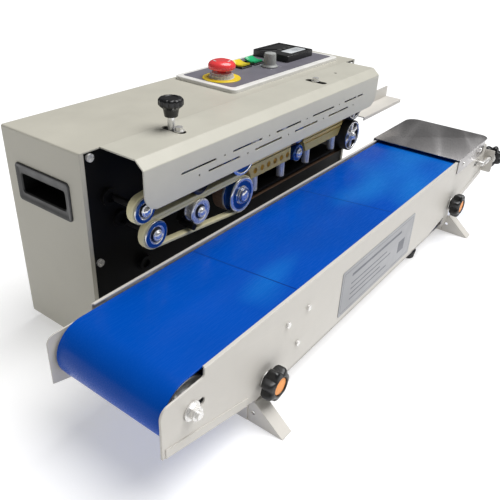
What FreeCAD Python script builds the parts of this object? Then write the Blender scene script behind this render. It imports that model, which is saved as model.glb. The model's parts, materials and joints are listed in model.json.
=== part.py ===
"""Continuous band sealer: a bench machine that seals filled bags on a moving conveyor.

Millimetres, +X along the bag's travel, +Y to the rear, +Z up.  The working layout is measured
from the left end of the conveyor, its front face and the bench; place() moves every sub-part
so that the origin lies at the centre of the footprint, on the bench.
"""
import FreeCAD, Part
import math
import os
import re
import Sketcher
from FreeCAD import Placement, Rotation, Vector

os.makedirs("parts", exist_ok=True)
doc = FreeCAD.newDocument("band_sealer")

DIMENSIONS = {
    # datum and sheet metal
    "origin_x": 430.7, "origin_y": 149.1, "sheet_wall": 1.5, "plate_wall": 2.0,
    "fit_gap": 0.3, "bearing_gap": 0.05,
    # conveyor
    "conveyor_length": 840.0, "conveyor_width": 150.0, "side_top": 134.0, "side_bottom": 31.0,
    "end_bottom": 68.0, "end_top": 125.0, "notch_length": 56.0, "taper_left": 143.0,
    "taper_right": 228.0, "roller_inset": 38.0, "roller_height": 98.0, "roller_diameter": 61.4,
    "roller_width": 137.0, "belt_width": 138.0, "belt_thickness": 2.0, "axle_diameter": 12.0,
    "tray_length": 156.0, "tray_top": 137.5, "tray_flange": 24.0,
    "label_length": 214.0, "label_height": 67.0, "label_thickness": 0.6,
    # feet and star knobs
    "left_stud": 155.0, "left_stud_height": 51.0, "right_stud": 690.0, "right_stud_height": 59.0,
    "stud_diameter": 8.0,
    "knob_diameter": 40.0, "knob_thickness": 16.0, "cap_diameter": 21.0,
    "foot_reach": 39.0, "foot_width": 17.0, "arm_height": 27.0,
    # cabinet
    "case_left": 102.0, "case_right": 675.0, "case_front": 203.0, "case_rear": 333.0,
    "case_bottom": 12.0, "case_top": 264.5, "plate_thickness": 5.0,
    "handle_width": 92.0, "handle_height": 46.0,
    # hood over the sealing head
    "hood_left": 128.0, "hood_right": 640.0, "hood_nose": 140.2, "hood_crease": 151.0,
    "hood_rear": 202.7, "hood_top": 265.2, "hood_band": 255.8, "hood_bottom": 209.0,
    "hood_corner": 20.0, "vent_length": 57.5, "vent_pitch": 88.0, "vent_height": 2.6,
    # sealing head
    "bag_line": 186.2, "wheel_face": 156.0, "guide_front": 157.5, "guide_width": 9.0,
    "guide_thickness": 4.0, "band_front": 169.0, "band_width": 15.0, "band_thickness": 0.5,
    "drive_x": 311.0, "exit_x": 608.0, "seat_radius": 25.0, "guide_seat": 21.5,
    "upper_pulley_x": 142.0, "upper_pulley_seat": 12.5, "lower_pulley_x": 157.0,
    "lower_pulley_seat": 14.0, "idler_x": 230.0, "idler_radius": 13.6,
    "pressure_x": 457.0, "pressure_radius": 12.7, "head_axle": 8.0,
    "heat_left": 338.0, "heat_right": 440.0, "cool_left": 473.0, "cool_right": 590.0,
    "block_height": 18.5, "block_depth": 17.0,
    # drive gears
    "gear_teeth": 34.0, "pinion_teeth": 17.0, "gear_module": 1.5, "gear_width": 10.0,
    "gear_front": 215.0,
    # pressure screw
    "screw_x": 216.5, "screw_y": 186.0, "screw_diameter": 9.0, "screw_top": 301.0,
    "screw_knob": 28.0,
    # control panel
    "panel_left": 372.0, "panel_right": 648.0, "panel_front": 220.0, "panel_rear": 328.0,
    "panel_top": 269.5, "estop_x": 408.0, "estop_y": 271.0, "estop_plate": 54.0,
    "estop_cap": 40.0, "speed_x": 510.5, "speed_y": 261.0,
}

sheet = doc.addObject("Spreadsheet::Sheet", "Dimensions")
for row, (alias, value) in enumerate(DIMENSIONS.items(), start=1):
    sheet.set(f"A{row}", alias)
    sheet.set(f"B{row}", str(value))
    sheet.setAlias(f"B{row}", alias)
doc.recompute()

PARTS = []
PLANES = {"XY": "XY_Plane", "XZ": "XZ_Plane", "YZ": "YZ_Plane"}


def size(alias):
    """The value of one driving dimension."""
    return float(sheet.get(alias))


def bind(item, prop, expression):
    """Bind a property to the sheet; aliases in the expression are written without its name."""
    if isinstance(expression, (int, float)):
        expression = repr(float(expression))
    names = re.sub(r"\b([a-z]+(?:_[a-z]+)*)\b", r"Dimensions.\1", expression)
    item.setExpression(prop, names)


def place(item, x=0.0, y=0.0, z=0.0, rotation=None):
    """Put a sub-part at a point of the working layout."""
    base = Vector(x - size("origin_x"), y - size("origin_y"), z)
    item.Placement = Placement(base, rotation or Rotation())


def keep(item, label):
    """Name a finished sub-part; its label is the name of its file."""
    item.Label = label
    PARTS.append(item)
    return item


# ---------------------------------------------------------------- outlines for sketches
def outline(points):
    """Closed outline through (u, v) corners; a third number rounds that corner."""
    corners = [(Vector(p[0], p[1], 0), p[2] if len(p) > 2 else 0.0) for p in points]
    count = len(corners)
    ends = []
    for i, (corner, radius) in enumerate(corners):
        if not radius:
            ends.append((corner, corner, None))
            continue
        to_last = (corners[i - 1][0] - corner).normalize()
        to_next = (corners[(i + 1) % count][0] - corner).normalize()
        half = to_last.getAngle(to_next) / 2
        reach = radius / math.tan(half)
        middle = corner + (to_last + to_next).normalize() * (radius / math.sin(half) - radius)
        ends.append((corner + to_last * reach, corner + to_next * reach, middle))
    edges = []
    for i, (start, end, middle) in enumerate(ends):
        if middle is not None:
            edges.append(Part.Arc(start, middle, end))
        following = ends[(i + 1) % count][0]
        if (following - end).Length > 1e-6:
            edges.append(Part.LineSegment(end, following))
    return edges


def rectangle(u0, v0, u1, v1, radius=0.0):
    return outline([(u0, v0, radius), (u1, v0, radius), (u1, v1, radius), (u0, v1, radius)])


def circle(u, v, diameter):
    return [Part.Circle(Vector(u, v, 0), Vector(0, 0, 1), diameter / 2)]


def loop(u0, v0, r0, u1, v1, r1):
    """Outline of a belt round two circles, the first one on the left."""
    span = math.hypot(u1 - u0, v1 - v0)
    heading = math.atan2(v1 - v0, u1 - u0)
    lean = math.acos((r0 - r1) / span)

    def on(u, v, r, angle):
        return Vector(u + r * math.cos(angle), v + r * math.sin(angle), 0)

    top, bottom = heading + lean, heading - lean
    left_top, right_top = on(u0, v0, r0, top), on(u1, v1, r1, top)
    left_bottom, right_bottom = on(u0, v0, r0, bottom), on(u1, v1, r1, bottom)
    return [
        Part.LineSegment(left_top, right_top),
        Part.Arc(right_top, on(u1, v1, r1, heading), right_bottom),
        Part.LineSegment(right_bottom, left_bottom),
        Part.Arc(left_bottom, on(u0, v0, r0, heading + math.pi), left_top),
    ]


def gear_outline(teeth, module):
    """Straight-sided teeth, slim enough to turn in mesh with play on both flanks."""
    pitch = teeth * module / 2
    tip, root = pitch + 0.85 * module, pitch - 1.15 * module
    step = 2 * math.pi / teeth
    points = []
    for k in range(int(teeth)):
        for share, radius in ((-0.32, root), (-0.12, tip), (0.12, tip), (0.32, root)):
            angle = (k + share) * step
            points.append((radius * math.cos(angle), radius * math.sin(angle)))
    return outline(points)


# ---------------------------------------------------------------- features
def body_for(label, x=0.0, y=0.0, z=0.0, own_file=True):
    body = doc.addObject("PartDesign::Body", label)
    place(body, x, y, z)
    return keep(body, label) if own_file else body


def sketch_on(body, plane, outlines, start):
    """Sketch on one of the body's planes, moved to a coordinate along the plane's axis."""
    sketch = body.newObject("Sketcher::SketchObject", body.Name + "_sketch")
    origin = next(f for f in body.Origin.OriginFeatures if f.Role == PLANES[plane])
    sketch.AttachmentSupport = [(origin, "")]
    sketch.MapMode = "FlatFace"
    shift = -start if plane == "XZ" else start
    sketch.AttachmentOffset = Placement(Vector(0, 0, shift), Rotation())
    for edges in outlines:
        sketch.addGeometry(edges, False)
    return sketch


def pad(body, plane, outlines, start, length):
    """Solid from a coordinate towards the positive axis; length is an expression."""
    feature = body.newObject("PartDesign::Pad", body.Name + "_pad")
    feature.Profile = sketch_on(body, plane, outlines, start)
    feature.Reversed = plane == "XZ"
    bind(feature, "Length", length)
    return feature


def pocket(body, plane, outlines, start, length):
    """Cut from a coordinate towards the positive axis; length is an expression."""
    doc.recompute()
    before = body.Shape.Volume
    feature = body.newObject("PartDesign::Pocket", body.Name + "_pocket")
    feature.Profile = sketch_on(body, plane, outlines, start)
    feature.Reversed = plane != "XZ"
    bind(feature, "Length", length)
    doc.recompute()
    if body.Shape.Volume > before - 1e-6:
        raise ValueError(f"{body.Label}: a pocket cuts nothing")
    return feature


def revolve(body, plane, outlines, axis="V_Axis"):
    """Turned solid about the sketch's vertical axis: local Y on XY, local Z on XZ."""
    feature = body.newObject("PartDesign::Revolution", body.Name + "_turned")
    sketch = sketch_on(body, plane, outlines, 0.0)
    feature.Profile = sketch
    feature.ReferenceAxis = (sketch, [axis])
    feature.Angle = 360
    return feature


def edges_where(body, test):
    """Names of the body's edges whose middle point passes a test."""
    doc.recompute()
    names = []
    inverse = body.Placement.inverse()
    for i, edge in enumerate(body.Shape.Edges, start=1):
        middle = inverse.multVec(edge.valueAt((edge.FirstParameter + edge.LastParameter) / 2))
        if test(middle, edge):
            names.append(f"Edge{i}")
    return names


def fillet(body, radius, test):
    names = edges_where(body, test)
    tip = body.Tip
    feature = body.newObject("PartDesign::Fillet", body.Name + "_fillet")
    feature.Base = (tip, names)
    feature.Radius = radius
    return feature


def cylinder(name, x, y, z, diameter, length, axis="Z"):
    """Part cylinder from a point along +X, +Y or +Z, its sizes bound to the sheet."""
    item = doc.addObject("Part::Cylinder", name)
    bind(item, "Radius", f"({diameter}) / 2")
    bind(item, "Height", f"{length}")
    turn = {"X": Rotation(Vector(0, 1, 0), 90), "Y": Rotation(Vector(1, 0, 0), -90), "Z": Rotation()}
    place(item, x, y, z, turn[axis])
    return item


def block(name, x0, y0, z0, x1, y1, z1):
    """Part box between two corners of the working layout."""
    item = doc.addObject("Part::Box", name)
    bind(item, "Length", x1 - x0)
    bind(item, "Width", y1 - y0)
    bind(item, "Height", z1 - z0)
    place(item, x0, y0, z0)
    return item


def joined(name, items):
    """One solid from touching pieces."""
    item = doc.addObject("Part::MultiFuse", name)
    item.Shapes = items
    item.Refine = True
    return item


def less(name, base, tool):
    item = doc.addObject("Part::Cut", name)
    item.Base = base
    item.Tool = tool
    item.Refine = True
    return item


def group(label, items):
    """Several like pieces that share a node, each a separate solid."""
    item = doc.addObject("Part::Compound", label)
    item.Links = items
    return keep(item, label)


# ---------------------------------------------------------------- conveyor
LENGTH = size("conveyor_length")
WIDTH = size("conveyor_width")
LEFT_AXLE = size("roller_inset")
RIGHT_AXLE = LENGTH - size("roller_inset")
AXLE_Z = size("roller_height")
STUD_SLOT = size("stud_diameter") + 0.8
END_SLOT = 9.0


def side_outline():
    """Side plate: lowered rounded ends, a notch at each end and tapered undersides."""
    top, low, end = size("side_top"), size("side_bottom"), size("end_bottom")
    shoulder, notch = size("end_top"), size("notch_length")
    left, right = size("taper_left"), LENGTH - size("taper_right")
    return outline([
        (0, end), (left, low), (right, low), (LENGTH, end), (LENGTH, shoulder, 10),
        (LENGTH - notch, shoulder, 3), (LENGTH - notch, top, 1.5), (notch, top, 1.5),
        (notch, shoulder, 3), (0, shoulder, 10),
    ])


def axle_slots():
    """Horizontal slots that the roller axles are set along."""
    half = END_SLOT / 2
    return [
        rectangle(LEFT_AXLE - 10, AXLE_Z - half, LEFT_AXLE + 18, AXLE_Z + half, 3.5),
        rectangle(RIGHT_AXLE - 18, AXLE_Z - half, RIGHT_AXLE + 10, AXLE_Z + half, 3.5),
    ]


def side_plate(label, y0, outward):
    """Folded side plate; outward is -1 for the front one and 1 for the rear one."""
    wall = size("plate_wall")
    body = body_for(label)
    pad(body, "XZ", [side_outline()], y0, "plate_wall")
    notch, top = size("notch_length"), size("side_top")
    lip = y0 if outward < 0 else y0 + wall - 4.0
    pad(body, "XZ", [rectangle(notch + 1.5, top - wall, LENGTH - notch - 1.5, top)], lip, 4.0)
    foot = y0 if outward < 0 else y0 + wall - 12.0
    low = size("side_bottom")
    pad(body, "XZ", [rectangle(205, low, 600, low + wall)], foot, 12.0)
    hem_y = y0 - 0.8 if outward < 0 else y0 + wall - 0.2
    for x0, x1 in hem_spans():
        z0, z1 = underside(x0), underside(x1)
        hem = outline([(x0, z0), (x1, z1), (x1, z1 + 11), (x0, z0 + 11)])
        pad(body, "XZ", [hem], hem_y, 1.0)
    pocket(body, "XZ", axle_slots(), y0 - 2, 6.0)
    if outward < 0:
        for x, z in STUDS:
            slot = rectangle(x - STUD_SLOT / 2, 20, x + STUD_SLOT / 2, z + STUD_SLOT / 2, 4.2)
            pocket(body, "XZ", [slot], y0 - 2, 6.0)
        for x, z in PLATE_SCREWS:
            pocket(body, "XZ", [circle(x, z, 4.4)], y0 - 1, 4.0)
        lug = rectangle(-17, 72, 1, 113, 3)
        pad(body, "YZ", [lug], LENGTH - wall, "plate_wall")
        pocket(body, "YZ", [circle(-10, AXLE_Z, 8.6)], LENGTH - wall - 1, 4.0)
    fold = y0 if outward < 0 else y0 + wall
    fillet(body, 0.9, lambda p, e: abs(p.z - top) < 0.01 and e.Length > 300 and abs(p.y - fold) < 0.01)
    return body


def underside(x):
    """Height of the side plate's lower edge at a point along it."""
    low, end = size("side_bottom"), size("end_bottom")
    left, right = size("taper_left"), LENGTH - size("taper_right")
    if x < left:
        return end - (end - low) * x / left
    return low + (end - low) * (x - right) / (LENGTH - right)


def hem_spans():
    """Where the tapered undersides carry a folded hem, clear of the feet."""
    return [(4, size("taper_left") - 20), (LENGTH - 110, LENGTH - 4)]


STUDS = [(size("left_stud"), size("left_stud_height")), (size("right_stud"), size("right_stud_height"))]
PLATE_SCREWS = [(191, 101), (232, 101), (214.5, 62)]


def conveyor():
    side_plate("front_side_plate", 0.0, -1)
    side_plate("rear_side_plate", WIDTH - size("plate_wall"), 1)

    belt_radius = size("roller_diameter") / 2 + size("fit_gap")
    outer = belt_radius + size("belt_thickness")
    belt_y = (WIDTH - size("belt_width")) / 2
    belt = body_for("conveyor_belt")
    pad(belt, "XZ", [loop(LEFT_AXLE, AXLE_Z, outer, RIGHT_AXLE, AXLE_Z, outer),
                     loop(LEFT_AXLE, AXLE_Z, belt_radius, RIGHT_AXLE, AXLE_Z, belt_radius)],
        belt_y, "belt_width")

    bed_top = AXLE_Z + belt_radius - 0.3
    wall = size("plate_wall")
    bed = body_for("slider_bed")
    section = outline([
        (wall, bed_top - 22), (wall + 1.5, bed_top - 22), (wall + 1.5, bed_top - 1.5),
        (WIDTH - wall - 1.5, bed_top - 1.5), (WIDTH - wall - 1.5, bed_top - 22),
        (WIDTH - wall, bed_top - 22), (WIDTH - wall, bed_top, 1.2), (wall, bed_top, 1.2)])
    pad(bed, "YZ", [section], LEFT_AXLE + 36, RIGHT_AXLE - LEFT_AXLE - 72)

    for label, x in (("drive_roller", LEFT_AXLE), ("tension_roller", RIGHT_AXLE)):
        roller = body_for(label, x, WIDTH / 2, AXLE_Z)
        half, radius = size("roller_width") / 2, size("roller_diameter") / 2
        bore = size("axle_diameter") / 2 + size("bearing_gap")
        rim = radius - 3.0
        revolve(roller, "XY", [outline([
            (bore, -half + 4), (22, -half + 4), (22, -half + 1), (rim, -half, 0.8),
            (radius, -half, 0.8), (radius, half, 0.8), (rim, half), (22, half - 1),
            (22, half - 4), (bore, half - 4), (bore, half - 14), (24, half - 14),
            (24, -half + 14), (bore, -half + 14)])])

    axles = []
    for name, x in (("drive_axle", LEFT_AXLE), ("tension_axle", RIGHT_AXLE)):
        inner = cylinder(name + "_bar", x, wall + 0.2, AXLE_Z, "axle_diameter", WIDTH - 2 * wall - 0.4, "Y")
        front = cylinder(name + "_front", x, -11, AXLE_Z, 8, 14, "Y")
        rear = cylinder(name + "_rear", x, WIDTH - 3, AXLE_Z, 8, 11, "Y")
        axles.append(joined(name, [inner, front, rear]))
    group("roller_axles", axles)

    washers = []
    for i, (x, front) in enumerate([(LEFT_AXLE, True), (LEFT_AXLE, False), (RIGHT_AXLE, False)]):
        y = -4.0 if front else WIDTH + 0.2
        plate = cylinder(f"axle_washer_{i}", x, y + (2.2 if front else 0), AXLE_Z, 20, 1.6, "Y")
        nut = doc.addObject("Part::Prism", f"axle_nut_{i}")
        nut.Polygon = 6
        nut.Circumradius = 7.5
        nut.Height = 6.0
        place(nut, x, (-7.8 if front else WIDTH + 1.8), AXLE_Z, Rotation(Vector(1, 0, 0), -90))
        solid = joined(f"axle_fixing_{i}", [plate, nut])
        bore = cylinder(f"axle_fixing_bore_{i}", x, -12 if front else WIDTH - 2, AXLE_Z, 8.1, 16, "Y")
        washers.append(less(f"axle_fixing_cut_{i}", solid, bore))
    group("conveyor_fasteners", washers + conveyor_motor())
    plate = body_for("label_plate")
    mid_x, mid_z = 418.0, 72.0
    long, high = size("label_length") / 2, size("label_height") / 2
    pad(plate, "XZ", [rectangle(mid_x - long, mid_z - high, mid_x + long, mid_z + high, 3)],
        -size("label_thickness") - 0.05, "label_thickness")
    tray()


def conveyor_motor():
    """Gear motor inside the conveyor, screwed to the front plate, and its three screws."""
    wall = size("plate_wall")
    motor = body_for("conveyor_motor")
    xs, zs = [x for x, _ in PLATE_SCREWS], [z for _, z in PLATE_SCREWS]
    middle = sum(xs) / len(xs)
    flange = rectangle(min(xs) - 7, min(zs) - 7, max(xs) + 7, max(zs) + 5, 4)
    pad(motor, "XZ", [flange], wall + 0.05, 3.4)
    pad(motor, "XZ", [circle(middle, AXLE_Z - 2, 48)], wall + 3.4, 96)
    pocket(motor, "XZ", [circle(x, z, 4.1) for x, z in PLATE_SCREWS], wall - 1, 6)
    screws = []
    for i, (x, z) in enumerate(PLATE_SCREWS):
        head = cylinder(f"motor_screw_head_{i}", x, -2.6, z, 7.0, 2.5, "Y")
        shank = cylinder(f"motor_screw_shank_{i}", x, -1, z, 4.0, 6.2, "Y")
        screws.append(joined(f"motor_screw_{i}", [head, shank]))
    return screws


def tray():
    """Stainless outlet tray over the end of the belt, with a flange down each side plate."""
    top, long = size("tray_top"), size("tray_length")
    x0, x1 = LENGTH - long, LENGTH - 3
    wall = size("sheet_wall")
    y0, y1 = -wall - 0.4, WIDTH + wall + 0.4
    body = body_for("outlet_tray")
    pad(body, "XY", [outline([(x0, y0), (x1, y0, 16), (x1, y1, 22), (x0, y1)])], top - wall, "sheet_wall")
    drop = size("tray_flange")
    for y in (y0, y1 - wall):
        side = outline([(x0, top - wall / 2), (x0, top - drop, 3), (x1 - 24, top - drop, 6),
                        (x1 - 24, top - wall / 2)])
        pad(body, "XZ", [side], y, "sheet_wall")
    slots = [rectangle(x - 2.4, top - drop + 4, x + 2.4, top - 7, 2.2) for x in (x0 + 26, x1 - 42)]
    pocket(body, "XZ", slots, y0 - 1, WIDTH + 8)
    fillet(body, 1.2, lambda p, e: abs(p.z - top) < 0.01 and e.Length > 100 and abs(p.y - y0) < 0.01)


# ---------------------------------------------------------------- feet and star knobs
def star_outline(diameter, lobes):
    """Lobed rim: bumps and hollows that meet at a common tangent."""
    radius = diameter / 2
    bump = radius * 0.30
    seat = radius - bump
    points = 10
    edges = []
    ring = []
    for k in range(lobes * points):
        angle = 2 * math.pi * k / (lobes * points)
        wave = 0.5 + 0.5 * math.cos(lobes * angle)
        reach = seat + bump * (0.42 + 0.58 * wave ** 0.7)
        ring.append(Vector(reach * math.cos(angle), reach * math.sin(angle), 0))
    curve = Part.BSplineCurve()
    curve.interpolate(ring, PeriodicFlag=True)
    edges.append(curve)
    return edges


def star_knob(label, x, y, z, axis="Y", reach=14.0):
    """Lobed clamping knob on its stud, with a snap-in cap; its face looks along -Y or +X."""
    diameter, thick = size("knob_diameter"), size("knob_thickness")
    grip = Part.Face(Part.Wire([e.toShape() for e in star_outline(diameter, 7)]))
    grip = grip.extrude(Vector(0, 0, thick))
    dome = Part.makeSphere(38, Vector(0, 0, thick - 38 + 0.6))
    grip = grip.common(dome)
    hub = Part.makeCylinder(9, 4.6, Vector(0, 0, -3.4))
    stud = Part.makeCylinder(size("stud_diameter") / 2, reach, Vector(0, 0, -1 - reach))
    washer = Part.makeCylinder(10, 1.5, Vector(0, 0, -4.6))
    seat = Part.makeCylinder(size("cap_diameter") / 2 + 0.2, 3, Vector(0, 0, thick - 1.6))
    knob = grip.fuse([hub, stud, washer]).cut(seat).removeSplitter()
    cap = Part.makeCylinder(size("cap_diameter") / 2, 2.2, Vector(0, 0, thick - 1.6))
    cap = cap.common(Part.makeSphere(60, Vector(0, 0, thick - 60 + 0.7)))
    item = doc.addObject("Part::Feature", label)
    item.Shape = Part.makeCompound([knob, cap])
    turn = Rotation(Vector(1, 0, 0), 90) if axis == "Y" else Rotation(Vector(0, 1, 0), 90)
    place(item, x, y, z, turn)
    return keep(item, label)


def supports():
    """Welded frame under the conveyor, its feet and the knobs that clamp the conveyor to them."""
    high, front = size("arm_height"), size("case_front")
    pieces = []
    for name, x, lean in (("left", 134.0, 1), ("right", 698.0, -1)):
        pieces.append(block(f"{name}_arm_web", x, 7, 2, x + 2, front, 2 + high))
        edge = x if lean > 0 else x - 18
        pieces.append(block(f"{name}_arm_top", edge, 7, high, edge + 20, front, 2 + high))
    pieces.append(block("crossbar_top", 139, 9, 12, 697, 27, 14))
    pieces.append(block("crossbar_web", 135, 25, 12, 699, 27, 28))
    pieces.append(block("frame_tab_left", 134, front - 2, 12, 170, front, 29))
    pieces.append(block("frame_tab_right", 668.5, front - 2, 12, 700, front, 29))
    keep(joined("support_frame", pieces), "support_frame")

    group("front_feet", [foot("left_foot", 136.1, 1), foot("right_foot", 700.1, -1)])
    for label, (x, z) in zip(("left_star_knob", "right_star_knob"), STUDS):
        star_knob(label, x, -5.1, z)
    star_knob("tension_knob", LENGTH + 4.8, -10, AXLE_Z, "X", 37.2)


def foot(label, x, mirror):
    """Folded foot: an upright tab behind the side plate, a web and a sloping front flange."""
    reach, broad, wall = size("foot_reach"), size("foot_width"), size("plate_wall")
    crest = size("side_bottom") - 0.6
    body = body_for(label, own_file=False)
    web = outline([(-reach, 0), (24, 0, 2), (24, 22, 3), (6.6, 26.4), (5.5, crest), (-2, crest)])
    pad(body, "YZ", [web], x, "plate_wall")
    slope = outline([(-reach, 0), (-reach + 2.4, 0), (0.4, crest), (-2, crest)])
    pad(body, "YZ", [slope], x, "foot_width")
    stud, stud_z = STUDS[0] if mirror > 0 else STUDS[1]
    near, far = (x, stud + 12) if mirror > 0 else (stud - 12, x + wall)
    top = stud_z + 12
    tab = outline([(near, crest - 12), (far, crest - 12, 3), (far, top, 6), (near, top, 6)] if mirror > 0
                  else [(near, crest - 12, 3), (far, crest - 12), (far, top, 6), (near, top, 6)])
    pad(body, "XZ", [tab], wall + 0.5, "plate_wall")
    pocket(body, "XZ", [circle(stud, stud_z, size("stud_diameter") + 0.1)], wall, 4.0)
    pocket(body, "YZ", [circle(0.5, 15, 5)], x - 1, 4.0)
    return body


# ---------------------------------------------------------------- cabinet
LEFT, RIGHT = size("case_left"), size("case_right")
FRONT, REAR = size("case_front"), size("case_rear")
FLOOR, ROOF = size("case_bottom"), size("case_top")
SEAM = size("bag_line")
HANDLE_Y, HANDLE_Z = 270.5, 203.0


def cabinet():
    wall = size("sheet_wall")
    shell = body_for("cabinet_shell")
    skin = rectangle(LEFT, FLOOR, RIGHT, ROOF, 2.2)
    hollow = rectangle(LEFT + wall, FLOOR + wall, RIGHT - wall, ROOF - wall, 0.8)
    pad(shell, "XZ", [skin, hollow], FRONT, REAR - FRONT)
    for x in (LEFT + 0.4, RIGHT - 5.4):
        pad(shell, "XZ", [rectangle(x, FLOOR + 0.6, x + 5, ROOF - 0.6)], FRONT, "sheet_wall")
    half_y, half_z = size("handle_width") / 2 - 6, size("handle_height") / 2 - 6
    opening = rectangle(HANDLE_Y - half_y, HANDLE_Z - half_z, HANDLE_Y + half_y, HANDLE_Z + half_z)
    pocket(shell, "YZ", [opening], LEFT - 1, RIGHT - LEFT + 2)

    cover = body_for("back_cover")
    pad(cover, "XZ", [rectangle(LEFT + 0.6, FLOOR + 0.6, RIGHT - 0.6, ROOF - 0.6, 3)], REAR + 0.1, "sheet_wall")
    vents = [rectangle(x, z, x + 46, z + 3, 1.4) for x in (180, 250, 480, 550) for z in range(60, 140, 10)]
    pocket(cover, "XZ", vents, REAR - 1, 4)
    pocket(cover, "XZ", [rectangle(606, 39, 634, 59, 1)], REAR - 1, 4)

    handles = [handle_cup(f"handle_{side}", side) for side in ("left", "right")]
    group("carry_handles", handles)

    feet = []
    for i, (x, y) in enumerate([(128, 228), (649, 228), (128, 308), (649, 308), (196, 18), (580, 18)]):
        pad_foot = doc.addObject("Part::Cone", f"rubber_foot_{i}")
        pad_foot.Radius1 = 10.5
        pad_foot.Radius2 = 12.5
        bind(pad_foot, "Height", "case_bottom")
        place(pad_foot, x, y, 0)
        feet.append(pad_foot)
    group("rubber_feet", feet)

    guide = body_for("outfeed_guide")
    back = FRONT - 0.1
    ledge = outline([(back, 191), (back, 170), (back - 30, 170), (back - 30, 165.5),
                     (back - 31.5, 165.5), (back - 31.5, 171.5, 1), (back - 1.5, 171.5), (back - 1.5, 191)])
    pad(guide, "YZ", [ledge], RIGHT + 1, 148)
    pad(guide, "XZ", [rectangle(RIGHT - 22, 173, RIGHT + 2, 191)], back - 1.5, "sheet_wall")

    power = body_for("power_inlet")
    pad(power, "XZ", [rectangle(606.5, 39.5, 633.5, 58.5, 2)], REAR - 18, 20.0)
    pad(power, "XZ", [rectangle(601, 35, 639, 63, 4)], REAR + 1.7, 2.5)
    pocket(power, "XZ", [rectangle(609, 42, 631, 56, 3)], REAR - 12, 18)
    box = body_for("power_supply")
    pad(box, "XY", [rectangle(470, 235, 585, 312, 2)], FLOOR + 1.6, 42)
    pocket(box, "XY", [rectangle(474, 239, 581, 308)], FLOOR + 41, 6)


def handle_cup(name, side):
    """Recessed plastic carrying handle: a frame on the panel and a closed cup behind it."""
    broad, high = size("handle_width") / 2, size("handle_height") / 2
    sign = 1 if side == "left" else -1
    wall = LEFT if side == "left" else RIGHT
    frame_x = wall - 2.2 if side == "left" else wall
    frame = block(f"{name}_frame", frame_x + 0.1 * -sign, HANDLE_Y - broad, HANDLE_Z - high,
                  frame_x + 2.2 + 0.1 * -sign, HANDLE_Y + broad, HANDLE_Z + high)
    depth = 34
    x0, x1 = (wall - 0.5, wall + depth) if side == "left" else (wall - depth, wall + 0.5)
    cup = block(f"{name}_cup", x0, HANDLE_Y - broad + 6.4, HANDLE_Z - high + 6.4,
                x1, HANDLE_Y + broad - 6.4, HANDLE_Z + high - 6.4)
    h0, h1 = (wall - 4, wall + depth - 2) if side == "left" else (wall - depth + 2, wall + 4)
    hollow = block(f"{name}_hollow", h0, HANDLE_Y - broad + 9, HANDLE_Z - high + 12,
                   h1, HANDLE_Y + broad - 9, HANDLE_Z + high - 12)
    return less(name, joined(f"{name}_solid", [frame, cup]), hollow)


BOSSES = [(134.5, 207), (149, 176), (181, 101)]
SCREWS_LEFT_RIGHT = [(x, z) for x in (115, 662) for z in (257, 132, 24)]


def mounting_plate():
    """Black plate that carries the whole sealing head, with its bosses and hood brackets."""
    y0 = FRONT + 1.7
    thick = size("plate_thickness")
    body = body_for("mounting_plate")
    pad(body, "XZ", [rectangle(LEFT + 1.7, FLOOR + 1.7, RIGHT - 1.7, ROOF - 1.7)], y0, "plate_thickness")
    for x, z in BOSSES:
        pad(body, "XZ", [circle(x, z, 20)], y0 - 5, 5.5)
        pocket(body, "XZ", [circle(x, z, 11)], y0 - 6, 3.5)
    for x0, x1 in ((204, 232), (495, 511)):
        pad(body, "XZ", [rectangle(x0, 239, x1, 262.8)], 163, y0 + 1 - 163)
    screw_bore = circle(size("screw_x"), size("screw_y"), size("screw_diameter") + 2 * size("bearing_gap"))
    pocket(body, "XY", [screw_bore, circle(size("screw_x"), 174.8, 5.1), circle(503, 174.8, 5.1)], 236, 29)
    bores = [circle(x, z, size("head_axle") + 0.1) for x, z in AXLE_POINTS]
    bores += [circle(size("drive_x"), z, DRIVE_SHAFT + 2 * size("bearing_gap")) for z in DRIVE_HEIGHTS]
    pocket(body, "XZ", bores, y0 - 6, thick + 7)
    pocket(body, "XZ", [circle(x, z, 6.2) for x, z in SCREWS_LEFT_RIGHT], y0 - 1, thick + 2)

    screws = []
    for i, (x, z) in enumerate(SCREWS_LEFT_RIGHT):
        shank = cylinder(f"plate_screw_shank_{i}", x, y0 - 0.5, z, 5.8, thick, "Y")
        head = cylinder(f"plate_screw_head_{i}", x, y0 - 3.2, z, 9.0, 3.1, "Y")
        hexagon = doc.addObject("Part::Prism", f"plate_screw_hex_{i}")
        hexagon.Polygon = 6
        hexagon.Circumradius = 2.2
        hexagon.Height = 1.2
        place(hexagon, x, y0 - 3.3, z, Rotation(Vector(1, 0, 0), -90))
        screws.append(less(f"plate_screw_{i}", joined(f"plate_screw_body_{i}", [head, shank]), hexagon))
    return screws


# ---------------------------------------------------------------- sealing head
DRIVE_SHAFT = 12.0
UPPER_DRIVE = SEAM + size("seat_radius") + size("band_thickness") + 0.05
LOWER_DRIVE = SEAM - size("seat_radius") - size("band_thickness") - 0.05
DRIVE_HEIGHTS = (LOWER_DRIVE, UPPER_DRIVE)
GUIDE_TOP = SEAM + 0.05 + size("guide_thickness")
GUIDE_LOW = SEAM - 0.05 - size("guide_thickness")
GAP = size("fit_gap")
UPPER_PULLEY_Z = GUIDE_TOP + size("upper_pulley_seat") + GAP
LOWER_PULLEY_Z = GUIDE_LOW - size("lower_pulley_seat") - GAP
UPPER_IDLER_Z = GUIDE_TOP + size("idler_radius") + GAP
LOWER_IDLER_Z = GUIDE_LOW - size("idler_radius") - GAP
BAND_UP = SEAM + 0.05 + size("band_thickness")
BAND_DOWN = SEAM - 0.05 - size("band_thickness")
UPPER_PRESS_Z = BAND_UP + GAP + size("pressure_radius")
LOWER_PRESS_Z = BAND_DOWN - GAP - size("pressure_radius")
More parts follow.
